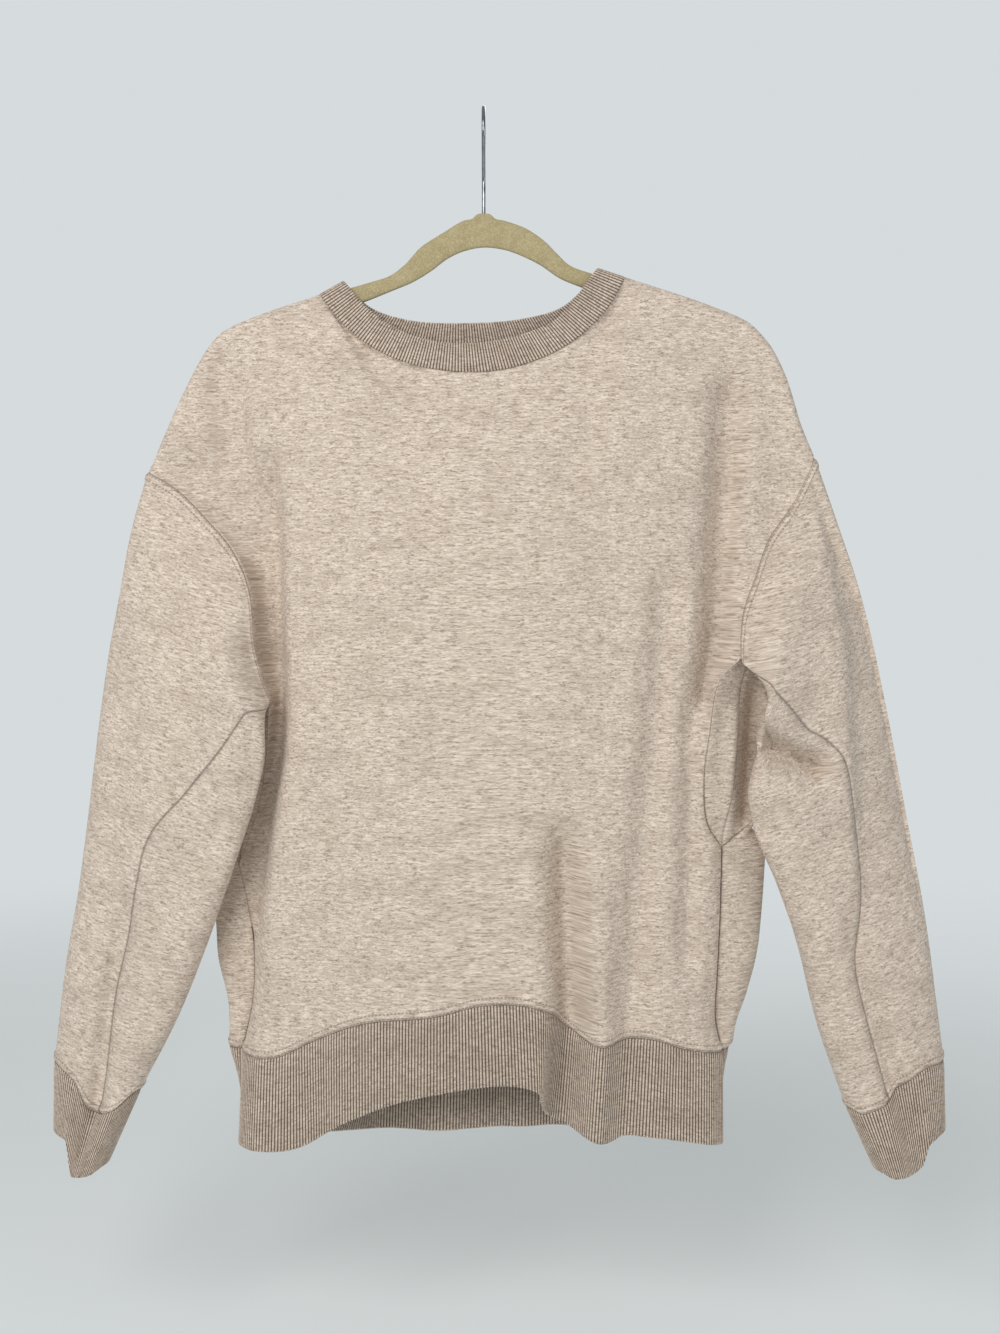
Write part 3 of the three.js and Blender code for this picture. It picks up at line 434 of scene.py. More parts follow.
def back_wrap(z, from_edge, near_left):
    """The back goes out past its side seam by reach · sin(a) over a quarter turn a, and then
    returns behind by a 1.5 power; its depth turns by (1 − cos a) / 2 and then by a sine."""
    reach = np.where(near_left, look_up(BACK_WRAP["left"], -z), look_up(BACK_WRAP["right"], -z))
    half = 1.25 * reach + 4
    angle = np.pi / 2 * np.clip(from_edge / half, 0, 1)
    past = np.clip(from_edge - half, 0, None)
    inward = np.clip(past / (WRAP_WIDTH - half), 0, 1) ** 1.5
    out = reach * np.sin(angle) - (reach + WRAP_WIDTH) * inward
    behind = np.clip(past / (0.6 * half + 8), 0, 1)
    turn = 0.5 * (1 - np.cos(angle)) + 0.5 * np.sin(np.pi / 2 * behind)
    share = np.where(from_edge < WRAP_WIDTH, np.minimum(1, reach / WRAP_FULL_REACH), 0)
    return share, out, turn


def underarm_seam(start, end):
    """Straight from one armhole's end to the other's, lifted by 5·sin(πt)."""
    t = np.linspace(0, 1, UNDERARM_COLUMNS + 1)[:, None]
    seam = blend(start, end, t)
    seam[:, 2] += 5 * np.sin(np.pi * t[:, 0])
    return seam


def gusset_panel(front_edge, back_edge, underarm):
    """Ruled between its two seams, easing out of the underarm seam's lift."""
    t = np.linspace(0, 1, UNDERARM_COLUMNS + 1)[None, :, None]
    grid = blend(front_edge[:, None], back_edge[:, None], t)
    lift = underarm[:, 2] - blend(underarm[0, 2], underarm[-1, 2], t[0, :, 0])
    down_way = np.linspace(0, 1, len(front_edge))
    fade = np.clip(1 - down_way * 5, 0, 1)
    grid[..., 2] += fade[:, None] * lift[None]
    inside = np.sin(np.pi * t[..., 0]) ** 0.5 * (np.sin(np.pi * down_way) ** 0.5)[:, None]
    grid[..., 1] += inside * sum(fold_at(fold, grid[..., 0], grid[..., 2]) for fold in GUSSET_FOLDS)
    return grid


def section_points(outer, inner, depths, angle):
    """Sleeve section: across = (1 − cos a) / 2 from edge to edge, bowed by |sin a|^0.8."""
    front, back, outer_y, inner_y = depths
    share = (1 - np.cos(angle)) / 2
    bow = np.abs(np.sin(angle)) ** 0.8
    points = blend(outer, inner, share[..., None])
    y = blend(outer_y, inner_y, share)
    y = y + np.where(np.sin(angle) > 0, -front * bow, back * bow * (1 - 0.7 * share))
    points[..., 1] = y
    return points


def sleeve_angles(side, ways, part, t):
    """Turn round the sleeve, in radians from its outer edge, of each column at each way."""
    front = look_up(SLEEVE_SEAMS[side], ways, 1)[:, None]
    back = look_up(SLEEVE_SEAMS[side], ways, 2)[:, None]
    on_front, on_back = front * t, 360 - back * t
    under = blend(front, 360 - back, t)
    return np.radians(np.where(part == 0, on_front, np.where(part == 1, on_back, under)))


def layer_step(rings):
    """Logistic step back past the front layer's line, faded out at both ends."""
    x, z = rings[..., 0], rings[..., 2]
    past = 1 / (1 + np.exp((look_up(LAYER_LINE, -z) - x) / LAYER_STEP["width"]))
    fade = smooth((-LAYER_LINE[0][0] - z) / 50) * smooth((z - LAYER_STEP["end"]) / LAYER_STEP["fade"])
    return LAYER_STEP["depth"] * past * fade


def sleeve_rings(side, loop, part, t):
    """Rings from the armhole loop down to the cuff seam, and the cuff's edge ring."""
    ways = np.linspace(0, 1, SLEEVE_ROWS + 1)
    shape = SIDES[side]
    outer = curve_points(shape["sleeve_outer"], ways)[:, None]
    inner = curve_points(shape["sleeve_inner"], ways)[:, None]
    depths = [look_up(SLEEVE_SECTIONS[side], ways, column)[:, None] for column in (1, 2, 3, 4)]
    angle = sleeve_angles(side, ways, part, t)
    rings = section_points(outer, inner, depths, angle)
    first = section_points(outer[:1], inner[:1], [depth[:1] for depth in depths], angle[:1])
    keep = 1 - smooth(ways / ARMHOLE_FADE)[:, None]
    rings = rings + (loop[None] - first) * keep[..., None]
    share = (1 - np.cos(angle)) / 2
    sink = sum(fold_at((a1 * SLEEVE_WIDTH, w1 * SLEEVE_LENGTH, a2 * SLEEVE_WIDTH, w2 * SLEEVE_LENGTH,
                        depth, width), share * SLEEVE_WIDTH, ways[:, None] * SLEEVE_LENGTH)
               for w1, a1, w2, a2, depth, width in SLEEVE_FOLDS[side])
    rings[..., 1] += sink * np.clip(2.5 * np.sin(angle), 0, 1) * smooth(ways / 0.12)[:, None]
    if side == "right":
        rings[..., 1] += layer_step(rings) * np.clip(3 * np.sin(angle), 0, 1)
        w1, a1, w2, a2, reach, width = OVERHANG
        lean = fold_at((a1 * SLEEVE_WIDTH, w1 * SLEEVE_LENGTH, a2 * SLEEVE_WIDTH, w2 * SLEEVE_LENGTH,
                        reach, width), share * SLEEVE_WIDTH, ways[:, None] * SLEEVE_LENGTH)
        lean = lean * np.clip(2.5 * np.sin(angle), 0, 1)
        rings[..., 0] -= 0.8 * lean
        rings[..., 2] -= 0.6 * lean
    drop = look_up(CUFF_SEAM_DROP[side], share) * smooth((ways[:, None] - CUFF_DROP_START)
                                                         / (1 - CUFF_DROP_START))
    rings[..., 2] -= np.where(np.sin(angle) > 0, drop, 0)
    edge_outer = np.array([shape["cuff_outer"][0], 0, shape["cuff_outer"][1]], float)
    edge_inner = np.array([shape["cuff_inner"][0], 0, shape["cuff_inner"][1]], float)
    edge = section_points(edge_outer, edge_inner, [depth[-1, 0] for depth in depths], angle[-1])
    edge[:, 2] = np.where(np.sin(angle[-1]) > 0, look_up(CUFF_EDGE[side], share[-1]), edge[:, 2])
    return rings, edge


def surface_normals(grid, closed):
    """Cross product of the steps down and across, by central differences."""
    step_down = np.gradient(grid, axis=0)
    if closed:
        step_across = np.roll(grid, -1, axis=1) - np.roll(grid, 1, axis=1)
    else:
        step_across = np.gradient(grid, axis=1)
    normal = np.cross(step_down, step_across)
    return normal / np.maximum(np.linalg.norm(normal, axis=2, keepdims=True), 1e-9)


def run_lengths(grid, axis):
    """Length along each row or column from its start."""
    steps = np.linalg.norm(np.diff(grid, axis=axis), axis=2)
    pad = ((1, 0), (0, 0)) if axis == 0 else ((0, 0), (1, 0))
    return np.pad(np.cumsum(steps, axis=axis), pad)


cloth_pieces = {}


def grain_map(grid, grain, middle_column):
    """Across: length along a row less what runs down the grain, from the middle column.
    Down: the place along the grain."""
    steps = np.diff(grid, axis=1)
    along = steps @ grain
    across_steps = np.sqrt(np.maximum((steps**2).sum(axis=2) - along**2, 0))
    across_way = np.pad(np.cumsum(across_steps, axis=1), ((0, 0), (1, 0)))
    across_way -= across_way[:, middle_column, None]
    return np.stack([across_way, grid @ grain], axis=2).reshape(-1, 2)


def panel_map(grid, forward):
    """Across: x + y · tanh(x / 60 mm) / 2, so the turned sides keep some width. Down: −z."""
    x, y, z = grid[..., 0], grid[..., 1], grid[..., 2]
    return np.stack([x - forward * 0.5 * np.tanh(x / 60) * y, -z], axis=2).reshape(-1, 2)


def add_cloth(name, grid, facing, sewn, stitched=(), grain=(0, 0, -1), middle_column=None,
              seam_share=None):
    """Keep a fleece piece's grid and outward directions until its neighbours' are known."""
    normals = surface_normals(grid, False)
    middle = normals[len(grid) // 2, grid.shape[1] // 2]
    if np.dot(middle, facing) < 0:
        normals = -normals
    grain = np.array(grain, float) / np.linalg.norm(grain)
    middle_column = grid.shape[1] // 2 if middle_column is None else middle_column
    cloth_pieces[name] = {"grid": grid.copy(), "normals": normals, "sewn": sewn,
                          "stitched": stitched, "map": grain_map(grid, grain, middle_column),
                          "seam_share": seam_share}


def share_seam_normals(grids, normals):
    """Points that meet at a seam take the mean of their outward directions."""
    borders = [border_index(grid.shape[:2]) for grid in grids]
    points = np.vstack([grid[j, i] for grid, (j, i) in zip(grids, borders)])
    directions = np.vstack([normal[j, i] for normal, (j, i) in zip(normals, borders)])
    keys = np.round(points * 200).astype(np.int64)
    _, group = np.unique(keys, axis=0, return_inverse=True)
    group = group.ravel()
    total = np.zeros((group.max() + 1, 3))
    np.add.at(total, group, directions)
    total /= np.maximum(np.linalg.norm(total, axis=1, keepdims=True), 1e-9)
    start = 0
    for normal, (j, i) in zip(normals, borders):
        normal[j, i] = total[group[start:start + len(j)]]
        start += len(j)


def border_index(shape):
    """Row and column numbers of a grid's border points."""
    rows, columns = shape
    j, i = np.meshgrid(np.arange(rows), np.arange(columns), indexing="ij")
    on_border = (j == 0) | (j == rows - 1) | (i == 0) | (i == columns - 1)
    return j[on_border], i[on_border]


def edge_distances(grid):
    """Distance of each point from each of the four edges, along the cloth."""
    along_row, along_column = run_lengths(grid, 1), run_lengths(grid, 0)
    return {
        "left": along_row,
        "right": along_row[:, -1:] - along_row,
        "top": along_column,
        "bottom": along_column[-1:] - along_column,
    }


def ripple(x, y, scale, seed):
    """Slow uneven waves: five sines of turned directions, summed and shared out."""
    total = np.zeros_like(x)
    for k in range(5):
        turn = 1.3 * k + seed
        size = scale * (0.7 + 0.25 * k)
        total += np.sin((x * np.cos(turn) + y * np.sin(turn)) / size + 2.1 * k + seed)
    return total / 5


def add_mesh(name, points, quads, maps, material):
    """Put points, four-sided faces and UV maps into a new mesh piece, in metres."""
    mesh = bpy.data.meshes.new(name)
    mesh.vertices.add(len(points))
    mesh.vertices.foreach_set("co", (points * MM).ravel())
    mesh.loops.add(quads.size)
    mesh.loops.foreach_set("vertex_index", quads.ravel().astype(np.int32))
    mesh.polygons.add(len(quads))
    mesh.polygons.foreach_set("loop_start", np.arange(0, quads.size, 4, dtype=np.int32))
    mesh.update(calc_edges=True)
    for map_name, values in maps.items():
        layer = mesh.uv_layers.new(name=map_name)
        layer.data.foreach_set("uv", (values * MM)[quads.ravel()].ravel())
    mesh.polygons.foreach_set("use_smooth", np.ones(len(quads), bool))
    mesh.materials.append(material)
    piece = bpy.data.objects.new(name, mesh)
    bpy.context.scene.collection.objects.link(piece)
    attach(piece, "root")
    return piece


def grid_quads(rows, columns, closed=False):
    """Corner numbers of a grid's faces; a closed grid joins its last column to its first."""
    j, i = np.meshgrid(np.arange(rows - 1), np.arange(columns - (not closed)), indexing="ij")
    j, i = j.ravel(), i.ravel()
    following = (i + 1) % columns
    return np.stack([j * columns + i, (j + 1) * columns + i,
                     (j + 1) * columns + following, j * columns + following], axis=1)


def border_loop(rows, columns):
    """Point numbers once round the border of a grid."""
    top = np.arange(columns)
    right = np.arange(1, rows) * columns + columns - 1
    bottom = (rows - 1) * columns + np.arange(columns - 1)[::-1]
    left = np.arange(1, rows - 1)[::-1] * columns
    return np.concatenate([top, right, bottom, left])


def outward_quads(points, quads):
    """Turn all faces round where the closed shape's signed volume is below nothing."""
    a, b, c, d = (points[quads[:, k]] for k in range(4))
    volume = (np.einsum("ij,ij->i", a, np.cross(b, c)) + np.einsum("ij,ij->i", a, np.cross(c, d))).sum()
    return quads[:, ::-1] if volume < 0 else quads


def sew_cloth(name, piece, material):
    """Cloth wall: the surface dipped into its seams, the same surface moved in, and a rim."""
    grid, normals = piece["grid"], piece["normals"]
    rows, columns = grid.shape[:2]
    off = edge_distances(grid)
    lift = 0.3 * ripple(off["left"], off["top"], 21, len(name))
    nearest = np.minimum.reduce([off[edge] for edge in piece["sewn"]])
    lift = lift * smooth(nearest / 12)
    for edge in piece["sewn"]:
        lift = lift - SEAM_DIP * np.exp(-((off[edge] / SEAM_DIP_WIDTH) ** 2))
    if piece["seam_share"]:
        seam_column = round(piece["seam_share"] * (columns - 1))
        off_middle = np.abs(off["left"] - off["left"][:, seam_column, None])
        lift = lift - SEAM_DIP * np.exp(-((off_middle / SEAM_DIP_WIDTH) ** 2))
        nearest = np.minimum(nearest, off_middle)
    stitch_off = np.full(grid.shape[:2], 1000.0)
    stitch_along = np.zeros(grid.shape[:2])
    for edge in piece["stitched"]:
        raised = smooth((off[edge] - 0.8) / 1.6) * (1 - smooth((off[edge] - STITCH_ROW) / 3))
        lift = lift + SEAM_RAISE * raised
        along = off["left"] if edge in ("top", "bottom") else off["top"]
        nearer = off[edge] < stitch_off
        stitch_along = np.where(nearer, along, stitch_along)
        stitch_off = np.where(nearer, off[edge], stitch_off)
    outer = grid + normals * lift[..., None]
    inner = grid - normals * CLOTH
    points = np.vstack([outer.reshape(-1, 3), inner.reshape(-1, 3)])
    skin = grid_quads(rows, columns)
    lining = skin[:, ::-1] + rows * columns
    loop = border_loop(rows, columns)
    following = np.roll(loop, -1)
    rim = np.stack([loop, following, following + rows * columns, loop + rows * columns], axis=1)
    quads = outward_quads(points, np.vstack([skin, lining, rim]))
    cloth_map = piece["map"]
    stitch_map = np.stack([stitch_along, stitch_off], axis=2).reshape(-1, 2)
    seam_map = np.stack([nearest, nearest], axis=2).reshape(-1, 2)
    far = np.full_like(stitch_map, 1000.0)
    maps = {"cloth": np.vstack([cloth_map, cloth_map]), "stitch": np.vstack([stitch_map, far]),
            "seam": np.vstack([seam_map, far])}
    return add_mesh(name, points, quads, maps, material)


def resample_ring(seam, edge, normals):
    """Even columns round a band, a few for each rib, from the seam's own uneven ones."""
    closed = np.vstack([seam, seam[:1]])
    length = np.concatenate([[0], np.cumsum(np.linalg.norm(np.diff(closed, axis=0), axis=1))])
    ribs = round(length[-1] / RIB_PITCH)
    at = np.arange(ribs * RIB_SAMPLES) / (ribs * RIB_SAMPLES) * length[-1]
    result = []
    for values in (seam, edge, normals[0], normals[1]):
        wrapped = np.vstack([values, values[:1]])
        result.append(np.stack([np.interp(at, length, wrapped[:, axis]) for axis in range(3)], axis=1))
    phase = np.arange(ribs * RIB_SAMPLES) / RIB_SAMPLES
    return result, phase, at


BAND_ROWS = 12
FOLD_ROWS = 5


def ribbed_band(name, seam, edge, normals, material):
    """A folded rib band: out along its outside, round the fold, back along its inside.

    Each column is a rib's share; the rib's height is the root of |sin(π · phase)|.
    """
    (seam, edge, seam_out, edge_out), phase, along = resample_ring(seam, edge, normals)
    half = BAND_WALL / 2
    down_way = np.linspace(0, 1, BAND_ROWS + 1)
    length = np.linalg.norm(edge - seam, axis=1)
    run = (edge - seam) / length[:, None]
    fold_turn = np.linspace(0, np.pi, FOLD_ROWS + 2)[1:-1]
    ways = np.concatenate([down_way, np.ones(FOLD_ROWS), down_way[::-1]])
    turns = np.concatenate([np.zeros(BAND_ROWS + 1), fold_turn, np.full(BAND_ROWS + 1, np.pi)])
    w, turn = ways[:, None, None], turns[:, None, None]
    out = blend(seam_out, edge_out, w)
    out /= np.linalg.norm(out, axis=2, keepdims=True)
    facing = out * np.cos(turn) + run * np.sin(turn)
    # The middle of the wall stops short of the edge by the fold's radius.
    shortened = w * (1 - half / length[None, :, None])
    middle = seam + (edge - seam) * shortened - out * half
    rib = RIB_RISE * (np.abs(np.sin(np.pi * phase)) ** 0.6)[None, :, None]
    rib = rib * smooth(np.minimum(w * 6 + 0.35, 1))
    grid = middle + facing * (half - RIB_RISE / 2 + rib)
    rows, columns = grid.shape[:2]
    skin = grid_quads(rows, columns, closed=True)
    top, last = np.arange(columns), (rows - 1) * columns + np.arange(columns)
    rim = np.stack([top, np.roll(top, -1), np.roll(last, -1), last], axis=1)
    quads = outward_quads(grid.reshape(-1, 3), np.vstack([skin, rim]))
    across_map = np.broadcast_to(along, (rows, columns))
    down_map = ways[:, None] * length[None]
    phase_map = np.broadcast_to(phase, (rows, columns))
    maps = {"cloth": np.stack([across_map, down_map], axis=2).reshape(-1, 2),
            "rib": np.stack([phase_map, down_map], axis=2).reshape(-1, 2)}
    return add_mesh(name, grid.reshape(-1, 3), quads, maps, material)


class Value:
    """A shader socket; arithmetic on it adds Math nodes."""

    def __init__(self, finish, socket):
        self.finish, self.socket = finish, socket

    def math(self, operation, *values):
        return self.finish.node("Math", {"operation": operation}, dict(enumerate(values)))

    def __add__(self, other):
        return self.math("ADD", self, other)

    def __sub__(self, other):
        return self.math("SUBTRACT", self, other)

    def __rsub__(self, other):
        return self.math("SUBTRACT", other, self)

    def __mul__(self, other):
        return self.math("MULTIPLY", self, other)

    def __truediv__(self, other):
        return self.math("DIVIDE", self, other)

    __radd__, __rmul__ = __add__, __mul__


class Finish:
    """A procedural material."""

    def __init__(self, name):
        self.material = bpy.data.materials.new(name)
        self.material.use_nodes = True
        self.tree = self.material.node_tree
        self.tree.nodes.clear()

    def node(self, kind, settings=None, sockets=None, out=0):
        """Add a node: its settings first, then the values or links of its sockets."""
        node = self.tree.nodes.new("ShaderNode" + kind)
        for key, value in (settings or {}).items():
            if key == "stops":
                self.set_stops(node.color_ramp, value)
            else:
                setattr(node, key, value)
        for key, value in (sockets or {}).items():
            if isinstance(value, Value):
                self.tree.links.new(value.socket, node.inputs[key])
            else:
                node.inputs[key].default_value = value
        return Value(self, node.outputs[out])

    def set_stops(self, ramp, stops):
        for place, colour in stops[2:]:
            ramp.elements.new(place)
        for element, (place, colour) in zip(ramp.elements, stops):
            element.position, element.color = place, (*colour, 1)

    def mix(self, share, a, b):
        """Colour mix: a where the share is 0, b where it is 1."""
        sockets = {"Factor": share, 6: a, 7: b}
        return self.node("Mix", {"data_type": "RGBA"}, sockets, out=2)

    def place(self, map_name, across_scale, down_scale, shift=0.0):
        """The piece's own map, scaled apart across and down."""
        uv = self.node("UVMap", {"uv_map": map_name})
        return self.node("VectorMath", {"operation": "MULTIPLY_ADD"},
                         {0: uv, 1: (across_scale, down_scale, 1), 2: (shift, shift, shift)})

    def noise(self, vector, scale, detail=2.0, roughness=0.5):
        sockets = {"Vector": vector, "Scale": scale, "Detail": detail, "Roughness": roughness}
        return self.node("TexNoise", {"noise_dimensions": "2D"}, sockets)

    def ease(self, value, low, high):
        """Eased step from 0 at low to 1 at high."""
        settings = {"interpolation_type": "SMOOTHSTEP"}
        return self.node("MapRange", settings, {"Value": value, "From Min": low, "From Max": high})

    def finish(self, colour, normal, roughness, constants):
        """Join the parts to the shader and the output."""
        sockets = {"Base Color": colour, "Roughness": roughness, "Normal": normal}
        shader = self.node("BsdfPrincipled", {}, {**sockets, **constants})
        output = self.tree.nodes.new("ShaderNodeOutputMaterial")
        self.tree.links.new(shader.socket, output.inputs["Surface"])
        return self.material


BRUSHED = {"Sheen Weight": 0.12, "Sheen Roughness": 0.6, "Specular IOR Level": 0.2}
VELVET = {"Sheen Weight": 0.25, "Sheen Roughness": 0.5, "Specular IOR Level": 0.15}


def linear(red, green, blue):
    """Display values of 0 to 255 as linear colour: 12.92 below 0.04045, a 2.4 power above."""
    c = np.array([red, green, blue]) / 255
    low, high = c / 12.92, ((c + 0.055) / 1.055) ** 2.4
    return tuple(float(x) for x in np.where(c <= 0.04045, low, high))


def heather(finish, light, middle, dark, map_name="cloth"):
    """Yarn of mixed fibres: long light and dark flecks across the knit over slow clouds."""
    pale_fleck = finish.noise(finish.place(map_name, 128, 580), 1.0, 2.0, 0.6)
    deep_fleck = finish.noise(finish.place(map_name, 116, 500, 7.3), 1.0, 2.0, 0.6)
    speck = finish.noise(finish.place(map_name, 380, 1300, 2.2), 1.0, 2.0, 0.6)
    other_speck = finish.noise(finish.place(map_name, 420, 1100, 9.4), 1.0, 2.0, 0.6)
    cloud = finish.noise(finish.place(map_name, 24, 60, 3.1), 1.0, 2.0, 0.5)
    pale = finish.ease(pale_fleck * 0.55 + speck * 0.45, 0.42, 0.63)
    deep = finish.ease(deep_fleck * 0.5 + other_speck * 0.5, 0.49, 0.66)
    colour = finish.mix(pale, (*middle, 1), (*light, 1))
    colour = finish.mix(deep * 0.8, colour, (*dark, 1))
    return finish.mix(finish.ease(cloud, 0.35, 0.75) * 0.2, colour, (*dark, 1))


def fleece_finish():
    """Brushed fleece: heathered yarn, fine knit loops, a seam line and two rows of stitches."""
    finish = Finish("heathered_fleece")
    colour = heather(finish, linear(231, 217, 203), linear(200, 184, 168), linear(148, 130, 115))
    seam = finish.node("SeparateXYZ", {}, {0: finish.node("UVMap", {"uv_map": "seam"})})
    in_seam = 1 - finish.ease(seam, 0.0002, 0.0011)
    stitch = finish.node("UVMap", {"uv_map": "stitch"})
    along = finish.node("SeparateXYZ", {}, {0: stitch}, out=0)
    off = finish.node("SeparateXYZ", {}, {0: stitch}, out=1)
    thread = stitch_mask(finish, along, off)
    colour = finish.mix(in_seam * 0.35, colour, (*linear(104, 82, 68), 1))
    colour = finish.mix(thread * 0.6, colour, (*linear(140, 120, 104), 1))
    wale = finish.noise(finish.place("cloth", 1500, 1100), 1.0, 1.0, 0.5)
    fuzz = finish.noise(finish.place("cloth", 300, 700, 5.0), 1.0, 3.0, 0.6)
    height = wale * 0.5 + fuzz * 0.7 - thread * 1.3 - in_seam * 1.2
    normal = finish.node("Bump", {}, {"Strength": 0.6, "Distance": 0.0004, "Height": height})
    return finish.finish(colour, normal, 0.93, BRUSHED)


def stitch_mask(finish, along, off):
    """Twin rows of stitches, 3 mm long: a band across each row, cut by a sine along it."""
    run = finish.node("Math", {"operation": "SINE"}, {0: along * (2 * np.pi / 0.003)})
    dash = finish.ease(run, -0.75, -0.2)
    rows = [1 - finish.ease(finish.node("Math", {"operation": "ABSOLUTE"}, {0: off - place}),
                            0.0004, 0.0009) for place in (0.0018, 0.0062)]
    return finish.node("Math", {"operation": "MAXIMUM"}, {0: rows[0], 1: rows[1]}) * dash


def rib_finish():
    """Rib knit: the heathered yarn, with painted shade darkening the hollow between each two ribs."""
    finish = Finish("heathered_rib")
    colour = heather(finish, linear(223, 208, 193), linear(196, 180, 164), linear(149, 131, 115))
    phase = finish.node("SeparateXYZ", {}, {0: finish.place("rib", 1000, 1000)})
    crest = finish.node("Math", {"operation": "ABSOLUTE"},
                        {0: finish.node("Math", {"operation": "SINE"}, {0: phase * np.pi})})
    painted_valley_shade = 1 - finish.ease(crest, 0.25, 0.9)
    # Painted shade: each hollow between two ribs is darkened towards a dark brown, standing in for the
    # shade there.
    colour = finish.mix(painted_valley_shade * 0.9, colour, (*linear(80, 60, 47), 1))
    loops = finish.noise(finish.place("cloth", 900, 1200), 1.0, 2.0, 0.5)
    normal = finish.node("Bump", {}, {"Strength": 0.5, "Distance": 0.0004, "Height": loops})
    return finish.finish(colour, normal, 0.93, BRUSHED)


def flock_finish():
    """Cream flock: short mottled pile over soft patches."""
    finish = Finish("cream_flock")
    place = finish.node("TexCoord", {}, {}, out=3)
    pile = finish.node("TexNoise", {}, {"Vector": place, "Scale": 900.0, "Detail": 3.0})
    patch = finish.node("TexNoise", {}, {"Vector": place, "Scale": 160.0, "Detail": 3.0})
    colour = finish.mix(finish.ease(patch, 0.35, 0.65), (*linear(160, 146, 110), 1),
                        (*linear(168, 155, 119), 1))
    colour = finish.mix(finish.ease(pile, 0.4, 0.75) * 0.5, colour, (*linear(204, 193, 158), 1))
    normal = finish.node("Bump", {}, {"Strength": 0.5, "Distance": 0.0003,
                                      "Height": pile + patch * 0.6})
    return finish.finish(colour, normal, 0.95, VELVET)


def steel_finish():
    """Bright drawn wire with faint lengthwise wear."""
    finish = Finish("bright_steel")
    place = finish.node("TexCoord", {}, {}, out=3)
    wear = finish.node("TexNoise", {}, {"Vector": place, "Scale": 90.0, "Detail": 2.0})
    colour = finish.mix(finish.ease(wear, 0.4, 0.8), (*linear(150, 155, 160), 1),
                        (*linear(96, 100, 105), 1))
    normal = finish.node("Bump", {}, {"Strength": 0.02, "Distance": 0.0001, "Height": wear})
    return finish.finish(colour, normal, wear * 0.15 + 0.14, {"Metallic": 1.0})


def floor_finish():
    finish = Finish("pale_floor")
    place = finish.node("TexCoord", {}, {}, out=3)
    grain = finish.node("TexNoise", {}, {"Vector": place, "Scale": 3.0, "Detail": 2.0})
    colour = finish.mix(grain, (*linear(226, 231, 231), 1), (*linear(232, 236, 236), 1))
    normal = finish.node("Bump", {}, {"Strength": 0.02, "Height": grain})
    reach = finish.node("VectorMath", {"operation": "LENGTH"}, {0: place}, out=1)
    return finish.finish(colour, normal, 0.9, {"Alpha": 1 - finish.ease(reach, 1.2, 2.6)})


fleece, rib, flock, steel = fleece_finish(), rib_finish(), flock_finish(), steel_finish()

# The body, sewn edge to edge
ALL_ROUND = ("top", "bottom", "left", "right")
front_grid = body_panel("front")
back_grid = body_panel("back")
add_cloth("front_cloth", front_grid, (0, -1, 0), ALL_ROUND, ("bottom",))
add_cloth("back_cloth", back_grid, (0, 1, 0), ALL_ROUND, ("bottom",))
cloth_pieces["front_cloth"]["map"] = panel_map(front_grid, -1)
cloth_pieces["back_cloth"]["map"] = panel_map(back_grid, 1)

# Sleeves and gussets take their top edges from the body's armholes
bands = {}
part_upper = np.concatenate([np.zeros(ARMHOLE_ROWS + 1, int), np.ones(ARMHOLE_ROWS, int)])
t_upper = np.concatenate([armhole_steps[::-1], armhole_steps[1:]])
t_under = np.linspace(0, 1, UNDERARM_COLUMNS + 1)[1:-1][::-1]
part_loop = np.concatenate([part_upper, np.full(len(t_under), 2)])
t_loop = np.concatenate([t_upper, t_under])
for side, column, out in (("left", 0, -1), ("right", -1, 1)):
    front_edge = front_grid[UNDERARM_ROW:TIP_ROW + 1, column]
    back_edge = back_grid[UNDERARM_ROW:TIP_ROW + 1, column]
    underarm = underarm_seam(front_edge[0], back_edge[0])
    add_cloth(f"gusset_{side}_cloth", gusset_panel(front_edge, back_edge, underarm),
              (out, 0, 0), ALL_ROUND, seam_share=GUSSET_SEAM)
    front_loop = front_grid[:UNDERARM_ROW + 1, column]
    back_loop = back_grid[:UNDERARM_ROW + 1, column]
    loop = np.vstack([front_loop[::-1], back_loop[1:], underarm[1:-1][::-1]])
    rings, cuff_edge = sleeve_rings(side, loop, part_loop, t_loop)
    upper = len(part_upper)
    under = np.concatenate([rings[:, upper - 1:], rings[:, :1]], axis=1)
    grain = rings[-1].mean(axis=0) - rings[0].mean(axis=0)
    add_cloth(f"sleeve_{side}_cloth", rings[:, :upper], (out, 0, 0.2), ALL_ROUND,
              ("top", "bottom"), grain, ARMHOLE_ROWS)
    add_cloth(f"under_sleeve_{side}_cloth", under, (-out, 0, -0.3), ALL_ROUND, ("bottom",), grain)
    bands[f"cuff_{side}"] = (rings[-1], cuff_edge, (out, 0, 0))


def ring_of(front_row, back_row):
    """One ring from the front's row and the back's, whose ends meet."""
    return np.vstack([front_row, back_row[::-1][1:-1]])


def band_edge(curves, ways, seam, lean):
    """Free edge of a band: the seam's columns and depth, leaning back by lean · sin(πt)."""
    edge = ring_of(curve_points(curves["edge_front"], ways), curve_points(curves["edge_back"], ways))
    middle = np.zeros(len(edge))
    middle[:len(ways)] = np.sin(np.pi * ways)
    edge[:, 1] = seam[:, 1] + lean * middle
    return edge


neck_columns = slice(SHOULDER_COLUMNS, SHOULDER_COLUMNS + NECK_COLUMNS + 1)
neck_seam = ring_of(front_grid[0, neck_columns], back_grid[0, neck_columns])
hem_seam = ring_of(front_grid[-1], back_grid[-1])
bands["neckband"] = (neck_seam, band_edge(NECK, neck_steps, neck_seam, NECKBAND_LEAN), (0, -1, 0))
bands["hem_band"] = (hem_seam, band_edge(HEM, across, hem_seam, HEM_LEAN), (0, -1, 0))


